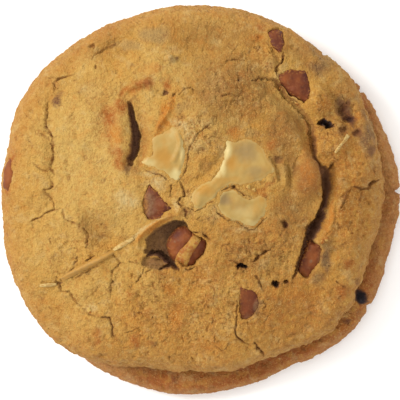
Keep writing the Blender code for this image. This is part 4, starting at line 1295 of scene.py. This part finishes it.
def dough_material():
    look = Shader("baked_dough")
    wide = look.noise(8.0 * MM, 3.0)
    middle = look.noise(2.2 * MM, 4.0, 0.6)
    patch = look.noise(1.0 * MM, 3.0, 0.6)
    fine = look.noise(0.5 * MM, 3.0, 0.6)
    crumb = look.noise(0.28 * MM, 2.0, 0.6)
    coarse = look.attribute("coarse")
    grit = look.crumbs(0.42 * MM, look.torn(0.6 * MM, 0.5 * MM))

    # Ground colours, from the middle to the rim and the base
    colour = look.mix(look.times(look.ramp(wide, 0.38, 0.62), 0.5), GOLD_DOUGH, PALE_DOUGH)
    # pale dough, with painted light on the gorge's right wall
    colour = look.mix(look.times(look.attribute("pale"), 0.85), colour, PALE_DOUGH)
    colour = look.coat(colour, "warm", middle, (0.3, 0.65, 0.75, 1.0), WARM_DOUGH)
    # tan dough, with painted shade on slopes facing away from the light
    colour = look.coat(colour, "tan_and_shade", middle, (0.3, 0.65, 0.7, 1.0), TAN_AND_SHADE_DOUGH)
    colour = look.coat(colour, "rim", middle, (0.3, 0.65, 0.4, 1.0), RIM_DOUGH)
    colour = look.coat(colour, "base", patch, (0.3, 0.6, 0.75, 1.0), BASE_DOUGH)
    outer_edge = look.times(look.attribute("base_edge"), 0.7)
    light_base = look.math("MAXIMUM", outer_edge, look.attribute("light_base"))
    colour = look.mix(look.times(light_base, look.attribute("base")), colour, BASE_EDGE)

    # Mottling, stronger where the dough is warm or coarse
    blotch = look.noise(1.7 * MM, 3.0, 0.6)
    busy = look.plus(0.22, look.plus(look.times(look.attribute("warm"), 0.28), look.times(coarse, 0.12)))
    colour = look.mix(look.times(look.ramp(patch, 0.50, 0.64), busy), colour, TOASTED_DOUGH)
    colour = look.mix(look.times(look.ramp(blotch, 0.52, 0.64), busy), colour, TAN_AND_SHADE_DOUGH)
    colour = look.mix(look.times(look.ramp(blotch, 0.48, 0.36), look.times(busy, 1.2)), colour, GOLD_DOUGH)
    colour = look.mix(look.times(look.ramp(middle, 0.53, 0.66), 0.24), colour, ORANGE_DOUGH)
    colour = look.mix(look.times(look.ramp(middle, 0.46, 0.34), 0.24), colour, CREAM_DOUGH)

    # Marks in their own places
    colour = look.coat(colour, "toasted", patch, (0.36, 0.56, 0.6, 1.0), TOASTED_DOUGH)
    colour = look.coat(colour, "orange", patch, (0.36, 0.56, 0.6, 1.0), ORANGE_DOUGH)
    colour = look.coat(colour, "olive", fine, (0.35, 0.62, 0.7, 1.0), OLIVE_DOUGH)
    colour = look.coat(colour, "cream", fine, (0.35, 0.62, 1.0, 0.5), CREAM_DOUGH)
    colour = look.coat(colour, "film", fine, (0.35, 0.62, 0.7, 1.0), FILM_GREY)

    # Dark specks, partly painted shade of fine pits, light crumbs, and painted shade in cracks, openings,
    # pits and the hollow
    # dark specks, partly painted shade of fine pits
    speck = look.times(look.ramp(fine, 0.52, 0.66), look.plus(0.20, look.times(coarse, 0.45)))
    colour = look.mix(speck, colour, SPECK_AND_PIT_SHADE)
    light = look.times(look.ramp(crumb, 0.47, 0.32), look.plus(0.32, look.times(coarse, 0.25)))
    colour = look.mix(light, colour, LIGHT_CRUMB)
    # painted shade in the hair cracks
    colour = look.mix(look.times(look.attribute("hair"), 0.5), colour, CRACK_CRUMB_AND_SHADE)
    # painted shade in cracks, openings and pits, over their browner crumb
    colour = look.mix(look.times(look.attribute("sunk"), 0.85), colour, CRACK_CRUMB_AND_SHADE)
    # painted shade in the hollow
    colour = look.coat(colour, "hollow", fine, (0.3, 0.65, 1.0, 0.75), HOLLOW_SHADE)
    # painted shade, darkest in the deepest openings, pits and the bottom of the hollow
    colour = look.mix(look.attribute("deep"), colour, DEEP_SHADE)
    # purple-brown bits, with painted shade on pit walls and in folds
    colour = look.coat(colour, "dark_and_shade", crumb, (0.3, 0.6, 1.0, 0.6), DARK_BIT_AND_SHADE)
    # painted shade: black in the floors of the deepest pits
    colour = look.mix(look.attribute("pit_shade"), colour, PIT_SHADE)

    height = look.plus(look.times(fine, -0.4), look.times(grit, -0.35))
    height = look.plus(height, look.times(crumb, -0.45))
    normal = look.bump(height, 0.40 * MM, 1.0)
    roughness = look.ramp(fine, 0.3, 0.7, 0.74, 0.92)
    return look.finish(colour, roughness, normal, 0.22)


def chunk_material():
    look = Shader("brown_chocolate")
    wide = look.noise(1.8 * MM, 3.0)
    fine = look.noise(0.45 * MM, 3.0, 0.6)
    colour = look.mix(look.times(look.ramp(wide, 0.48, 0.68), 0.45), CHUNK_MAIN, CHUNK_LIT)
    colour = look.mix(look.times(look.ramp(wide, 0.46, 0.30), 0.5), colour, CHUNK_DARK_AND_SHADE)
    # painted light on the chunk sides facing the light
    colour = look.mix(look.attribute("lit"), colour, CHUNK_LIT)
    # darker chocolate, with painted shade on the far sides
    colour = look.mix(look.times(look.attribute("dark_and_shade"), 0.85), colour, CHUNK_DARK_AND_SHADE)
    # painted contact shade at the edges where the dough laps over
    colour = look.mix(look.times(look.attribute("brim"), 0.35), colour, CHUNK_DARK_AND_SHADE)
    # grey bloom, and a painted highlight dot
    colour = look.coat(colour, "bloom_and_highlight", fine, (0.35, 0.6, 0.4, 1.0), CHUNK_BLOOM)
    colour = look.mix(look.times(look.ramp(fine, 0.54, 0.66), 0.30), colour, CHUNK_BLOOM)
    edge_dust = look.times(look.times(look.attribute("brim"), look.ramp(fine, 0.50, 0.62)), 0.6)
    dust = look.times(look.attribute("dust"), look.ramp(fine, 0.40, 0.56, 0.3, 1.0))
    colour = look.mix(look.math("MAXIMUM", edge_dust, dust), colour, WARM_DOUGH)
    height = look.plus(wide, look.times(fine, 0.7))
    normal = look.bump(height, 0.11 * MM, 0.9)
    return look.finish(colour, look.ramp(fine, 0.3, 0.7, 0.5, 0.7), normal, 0.14)


def white_material():
    look = Shader("white_chocolate")
    wide = look.noise(2.6 * MM, 2.0)
    fine = look.noise(0.5 * MM, 3.0, 0.5)
    colour = look.mix(look.times(look.ramp(wide, 0.42, 0.68), 0.5), WHITE_MAIN, WHITE_GOLD)
    # greyish patches, partly painted shade
    colour = look.mix(look.times(look.attribute("grey_and_shade"), 0.9), colour, WHITE_GREY_AND_SHADE)
    colour = look.mix(look.attribute("cream"), colour, WHITE_CREAM)
    colour = look.mix(look.attribute("golden"), colour, WHITE_GOLD)
    colour = look.mix(look.times(look.ramp(fine, 0.56, 0.8), 0.22), colour, WHITE_GOLD)
    colour = look.mix(look.times(look.attribute("brim"), 0.35), colour, WHITE_CREAM)
    colour = look.coat(colour, "fading", fine, (0.40, 0.58, 0.4, 1.0), GOLD_DOUGH)
    height = look.plus(wide, look.times(fine, 0.3))
    normal = look.bump(height, 0.10 * MM, 0.6)
    return look.finish(colour, look.ramp(fine, 0.3, 0.7, 0.48, 0.66), normal, 0.32)


def husk_material(name, pale):
    look = Shader(name)
    fibres = look.noise(0.3 * MM, 3.0, 0.6, look.stretched((0.35, 0.9, 1.0)))
    patch = look.noise(1.2 * MM, 2.0)
    colour = look.mix(look.ramp(fibres, 0.4, 0.65), pale, HUSK_SHADE)
    colour = look.mix(look.times(look.ramp(patch, 0.5, 0.7), 0.5), colour, GOLD_DOUGH)
    normal = look.bump(fibres, 0.12 * MM, 0.8)
    return look.finish(colour, look.ramp(fibres, 0.3, 0.7, 0.55, 0.75), normal, 0.3)


def streak_material():
    look = Shader("drawn_dough")
    patch = look.noise(1.2 * MM, 3.0)
    fine = look.noise(0.4 * MM, 3.0, 0.6)
    colour = look.mix(look.ramp(patch, 0.4, 0.62), GOLD_DOUGH, TOASTED_DOUGH)
    colour = look.mix(look.times(look.ramp(fine, 0.5, 0.7), 0.4), colour, CREAM_DOUGH)
    normal = look.bump(look.plus(patch, fine), 0.2 * MM, 0.8)
    return look.finish(colour, look.ramp(fine, 0.3, 0.7, 0.6, 0.85), normal, 0.25)


def slab_mesh(name, outline, thickness):
    """An even-faced slab with the given outline, its middle at height 0."""
    work = bmesh.new()
    corners = [work.verts.new((x, y, -0.5 * thickness)) for x, y in plan_outline(outline)]
    under = work.faces.new(corners)
    raised = bmesh.ops.extrude_face_region(work, geom=[under])["geom"]
    upper = [item for item in raised if isinstance(item, bmesh.types.BMVert)]
    bmesh.ops.translate(work, verts=upper, vec=(0.0, 0.0, thickness))
    bmesh.ops.recalc_face_normals(work, faces=work.faces)
    block = bpy.data.meshes.new(name + "_block")
    work.to_mesh(block)
    work.free()
    solid = add_piece(name + "_block", block)
    remesh = solid.modifiers.new("even_faces", "REMESH")
    remesh.mode = "VOXEL"
    remesh.voxel_size = PIECE_VOXEL
    remesh.use_smooth_shade = True
    mesh = baked_mesh(solid)
    bpy.data.objects.remove(solid, do_unlink=True)
    mesh.name = name
    return mesh


def add_piece(name, mesh):
    obj = bpy.data.objects.new(name, mesh)
    bpy.context.scene.collection.objects.link(obj)
    return obj


def edge_dip(inside):
    return EDGE_DIP * (1.0 - smoothstep(0.0, EDGE_DIP_WIDTH, inside))


def chunk_top(x, y, chunk):
    """Height of a chunk's top: domed, tilted and dipping under the dough at its edge."""
    _, outline, lift, crown, _, slope = chunk
    plan = plan_outline(outline)
    inside = inside_depth(*ragged(x, y, PIECE_RAG), plan, 8.0 * MM)
    middle = plan.mean(axis=0)
    spread = 0.45 * np.ptp(plan, axis=0).min()
    away = 1.0 - np.clip(inside / spread, 0.0, 1.0)
    round_top = crown * MM * (np.sqrt(1.0 - 0.98 * away**2) - 1.0)
    tilt = (x - middle[0]) * slope[0] + (y - middle[1]) * slope[1]
    return crust_level(x, y) + lift * MM + round_top + tilt - edge_dip(inside)


def tear_edge(points):
    """Shifts a piece's points so that its edge is torn in the same way as its bed."""
    for axis, torn in enumerate(ragged(points[:, 0], points[:, 1], PIECE_RAG)):
        points[:, axis] = 2.0 * points[:, axis] - torn


def make_chunk(chunk, seed):
    name = chunk[0] + "_piece"
    thickness = chunk[4] * MM
    mesh = slab_mesh(name, chunk[1], thickness)
    points = read_points(mesh)
    inside = inside_depth(points[:, 0], points[:, 1], plan_outline(chunk[1]), 4.0 * MM)
    tear_edge(points)
    x, y, z = points.T
    upper = smoothstep(-0.3 * thickness, 0.3 * thickness, z)
    near, _ = cells(torn_points(points, 0.3 * MM), 1.2 * MM, seed)
    relief = 0.16 * grain(points, 1.9 * MM, seed) + 0.18 * (0.5 - near)
    relief = relief + 0.05 * grain(points, 0.5 * MM, seed + 1)
    points[:, 2] += chunk_top(x, y, chunk) - 0.5 * thickness + upper * relief * MM
    write_points(mesh, points)
    set_attribute(mesh, "brim", 1.0 - smoothstep(0.2 * MM, 1.1 * MM, inside))
    paint_chunk(mesh)
    return add_piece(name, mesh)


def paint_chunk(mesh):
    loose = loose_places(read_points(mesh), 0.3 * MM, 1.6 * MM, 45)
    set_attribute(mesh, "dark_and_shade", spots(*loose, CHUNK_DARK_AND_SHADE_SPOTS))
    set_attribute(mesh, "lit", spots(*loose, CHUNK_LIT_SPOTS))
    set_attribute(mesh, "bloom_and_highlight", spots(*loose, CHUNK_BLOOM_AND_HIGHLIGHT_SPOTS, 0.4))
    set_attribute(mesh, "dust", spots(*loose, CHUNK_DUST_SPOTS))


def make_rim_chunk():
    node, middle, half_sizes, height = RIM_CHUNK
    x, y = place(middle)
    turn = math.atan2(y, x)
    bpy.ops.mesh.primitive_ico_sphere_add(subdivisions=5, radius=1.0)
    obj = bpy.context.object
    obj.name = node + "_piece"
    points = read_points(obj.data) * np.array(half_sizes)
    swell = 1.0 + 0.12 * grain(points, 2.0 * MM, 71) + 0.05 * grain(points, 0.8 * MM, 72)
    points = points * swell[:, None]
    along = points[:, 0] * math.cos(turn) - points[:, 1] * math.sin(turn)
    across = points[:, 0] * math.sin(turn) + points[:, 1] * math.cos(turn)
    write_points(obj.data, np.column_stack((x + along, y + across, height + points[:, 2])))
    for face in obj.data.polygons:
        face.use_smooth = True
    paint_chunk(obj.data)
    return obj


def make_white(node, outline, lift, thickness, seed):
    """A slab of melted chocolate that thins out to its edge."""
    mesh = slab_mesh(node + "_piece", outline, thickness * MM)
    points = read_points(mesh)
    inside = inside_depth(points[:, 0], points[:, 1], plan_outline(outline), 4.0 * MM)
    tear_edge(points)
    x, y, z = points.T
    swell = smoothstep(0.0, 1.2 * MM, inside)
    upper = smoothstep(-0.3 * thickness * MM, 0.3 * thickness * MM, z)
    surface = 0.10 * grain(points, 2.6 * MM, seed) + 0.04 * grain(points, 0.9 * MM, seed + 1)
    surface = surface + line_field(x, y, WHITE_FOLDS) - line_field(x, y, WHITE_DENTS, 0.1)
    top = crust_level(x, y) + swell * (lift + surface) * MM - edge_dip(inside)
    points[:, 2] += crust_level(x, y) - 0.5 * thickness * MM
    points[:, 2] += upper * (top - crust_level(x, y))
    write_points(mesh, points)
    loose = loose_places(points, 0.4 * MM, 2.0 * MM, 47)
    brim = 1.0 - smoothstep(0.1 * MM, 0.9 * MM, inside)
    set_attribute(mesh, "brim", brim)
    set_attribute(mesh, "fading", brim * spots(*loose, WHITE_FADING_SPOTS, 0.5))
    set_attribute(mesh, "golden", spots(*loose, WHITE_GOLD_SPOTS))
    set_attribute(mesh, "cream", spots(*loose, WHITE_CREAM_SPOTS))
    set_attribute(mesh, "grey_and_shade", spots(*loose, WHITE_GREY_AND_SHADE_SPOTS))
    return add_piece(node + "_piece", mesh)


def ribbon(work, line, floor, seed):
    """A flat tapered strip along a line, its lower half sunk below the surface floor(x, y)."""
    knots = smooth_line(line, 8)
    middle = np.column_stack(place(knots.T[:2]))
    forward = np.gradient(middle, axis=0)
    forward /= np.linalg.norm(forward, axis=1, keepdims=True)
    side = np.column_stack((-forward[:, 1], forward[:, 0]))
    rings = []
    turns = np.linspace(0.0, 2.0 * math.pi, RIBBON_SIDES, endpoint=False)
    for index, knot in enumerate(knots):
        half = 0.5 * PIXEL * knot[2]
        offsets = np.cos(turns) * half
        x = middle[index, 0] + offsets * side[index, 0]
        y = middle[index, 1] + offsets * side[index, 1]
        rise = np.where(np.sin(turns) > 0.0, knot[3] * MM, RIBBON_SINK) * np.sin(turns)
        points = np.column_stack((x, y, floor(x, y) + rise))
        points += RIBBON_ROUGHNESS * shifts(points, 0.7 * MM, seed)
        rings.append([work.verts.new(point) for point in points])
    for lower, upper in zip(rings[:-1], rings[1:]):
        for index in range(RIBBON_SIDES):
            following = (index + 1) % RIBBON_SIDES
            work.faces.new((lower[index], lower[following], upper[following], upper[index]))
    work.faces.new(list(reversed(rings[0])))
    work.faces.new(rings[-1])


def ribbon_piece(name, lines, floor, seed):
    work = bmesh.new()
    for index, line in enumerate(lines):
        ribbon(work, line, floor, seed + 3 * index)
    bmesh.ops.recalc_face_normals(work, faces=work.faces)
    for face in work.faces:
        face.smooth = True
    mesh = bpy.data.meshes.new(name)
    work.to_mesh(mesh)
    work.free()
    return add_piece(name, mesh)


def streak_floor(x, y):
    """Top of the chunk in the hollow, on which the drawn dough lies."""
    chunk = next(chunk for chunk in CHUNKS if chunk[0] == "chunk_hollow")
    return chunk_top(x, y, chunk)


def make_crumbs():
    """Loose crumbs baked onto the crust, in one piece."""
    work = bmesh.new()
    bmesh.ops.create_icosphere(work, subdivisions=4, radius=1.0)
    ball = np.array([vertex.co for vertex in work.verts])
    faces = np.array([[vertex.index for vertex in face.verts] for face in work.faces])
    work.free()
    source = np.random.default_rng(13)
    places = np.array(SHOWN_CRUMBS)
    x, y = place(places.T[:2])
    floor = np.column_stack((x, y, dome_height(x, y)))
    z = crust_level(x, y) + crumb_relief(floor, x, y) - sunk_depth(x, y, floor)
    points = []
    for index, half in enumerate(places[:, 2] * PIXEL):
        middle = np.array((x[index], y[index], z[index] + CRUMB_RISE * half))
        shape = ball * source.uniform(0.7, 1.25, 3) * half
        shape = shape * (1.0 + 0.5 * grain(shape + middle, 0.9 * half, 73))[:, None]
        points.append(middle + shape)
    steps = len(ball) * np.arange(len(places))[:, None, None]
    mesh = bpy.data.meshes.new("crumbs")
    mesh.from_pydata(np.vstack(points), [], (faces[None] + steps).reshape(-1, 3))
    for face in mesh.polygons:
        face.use_smooth = True
    return add_piece("crumbs", mesh)


def crumb_material():
    look = Shader("loose_crumbs")
    tint = look.noise(1.6 * MM, 1.0)
    fine = look.noise(0.3 * MM, 3.0, 0.6)
    colour = look.mix(look.ramp(tint, 0.42, 0.56), PALE_DOUGH, TOASTED_DOUGH)
    colour = look.mix(look.times(look.ramp(fine, 0.5, 0.3), 0.5), colour, LIGHT_CRUMB)
    normal = look.bump(fine, 0.1 * MM, 0.8)
    return look.finish(colour, look.ramp(fine, 0.3, 0.7, 0.75, 0.92), normal, 0.22)


def dress(obj, material, node=None):
    obj.data.materials.clear()
    obj.data.materials.append(material)
    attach(obj, "root")
    if node:
        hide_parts(node)
    return obj


def shift_all(objects):
    """Brings the pieces, built about the photo's centre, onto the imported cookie."""
    low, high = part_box("dough")
    points = read_points(objects[0].data)
    middle = 0.5 * (points.min(axis=0) + points.max(axis=0))
    shift = 0.5 * (np.array(low) + np.array(high)) - middle
    shift[2] = 0.0
    for obj in objects:
        write_points(obj.data, read_points(obj.data) + shift)
    return shift


def add_light():
    world = bpy.data.worlds.new("studio")
    bpy.context.scene.world = world
    world.use_nodes = True
    sky = world.node_tree.nodes["Background"]
    sky.inputs["Color"].default_value = (*SKY_COLOUR, 1.0)
    sky.inputs["Strength"].default_value = SKY_STRENGTH

    lamp = bpy.data.lights.new("key", "SUN")
    lamp.energy = KEY_STRENGTH
    lamp.angle = math.radians(KEY_SOFTNESS)
    lamp.color = KEY_COLOUR
    key = bpy.data.objects.new("key", lamp)
    key.rotation_euler = (0.0, math.radians(-KEY_TILT), math.radians(KEY_TURN))
    bpy.context.scene.collection.objects.link(key)


def add_camera(shift):
    view = bpy.data.cameras.new("camera")
    view.lens = CAMERA_LENS
    view.sensor_width = CAMERA_SENSOR
    width = PHOTO_PIXELS * PIXEL
    distance = width * CAMERA_LENS / CAMERA_SENSOR
    view.clip_start = 0.1 * distance
    view.clip_end = 3.0 * distance
    camera = bpy.data.objects.new("camera", view)
    middle = place((0.5 * PHOTO_PIXELS, 0.5 * PHOTO_PIXELS))
    camera.location = (middle[0] + shift[0], middle[1] + shift[1], TIER_BULGE_HEIGHT + distance)
    bpy.context.scene.collection.objects.link(camera)
    bpy.context.scene.camera = camera


def add_floor():
    bpy.ops.mesh.primitive_plane_add(size=FLOOR_SIZE, location=(0.0, 0.0, -FLOOR_DROP))
    floor = bpy.context.object
    floor.name = "floor"
    material = bpy.data.materials.new("floor")
    material.use_nodes = True
    paint = material.node_tree.nodes["Principled BSDF"]
    paint.inputs["Base Color"].default_value = (*FLOOR_COLOUR, 1.0)
    paint.inputs["Roughness"].default_value = 0.9
    paint.inputs["Specular IOR Level"].default_value = 0.1
    floor.data.materials.append(material)


pieces = [dress(make_dough(), dough_material(), "dough")]
brown = chunk_material()
for index, chunk in enumerate(CHUNKS):
    pieces.append(dress(make_chunk(chunk, CHUNK_SEED + 3 * index), brown, chunk[0]))
pieces.append(dress(make_rim_chunk(), brown, RIM_CHUNK[0]))
cream = white_material()
for index, white in enumerate(WHITES):
    pieces.append(dress(make_white(*white, WHITE_SEED + 2 * index), cream, white[0]))
husks = ribbon_piece("husks", HUSKS, crust_level, 90)
pieces.append(dress(husks, husk_material("pale_husk", HUSK)))
husk_strip = ribbon_piece("husk_strip", (HUSK_STRIP,), crust_level, 94)
pieces.append(dress(husk_strip, husk_material("dough_coloured_husk", GOLD_DOUGH)))
streak = ribbon_piece("dough_streak", (STREAK,), streak_floor, 97)
pieces.append(dress(streak, streak_material()))
pieces.append(dress(make_crumbs(), crumb_material()))
shift = shift_all(pieces)
add_light()
add_camera(shift)
add_floor()
bpy.context.scene.view_settings.view_transform = "Standard"
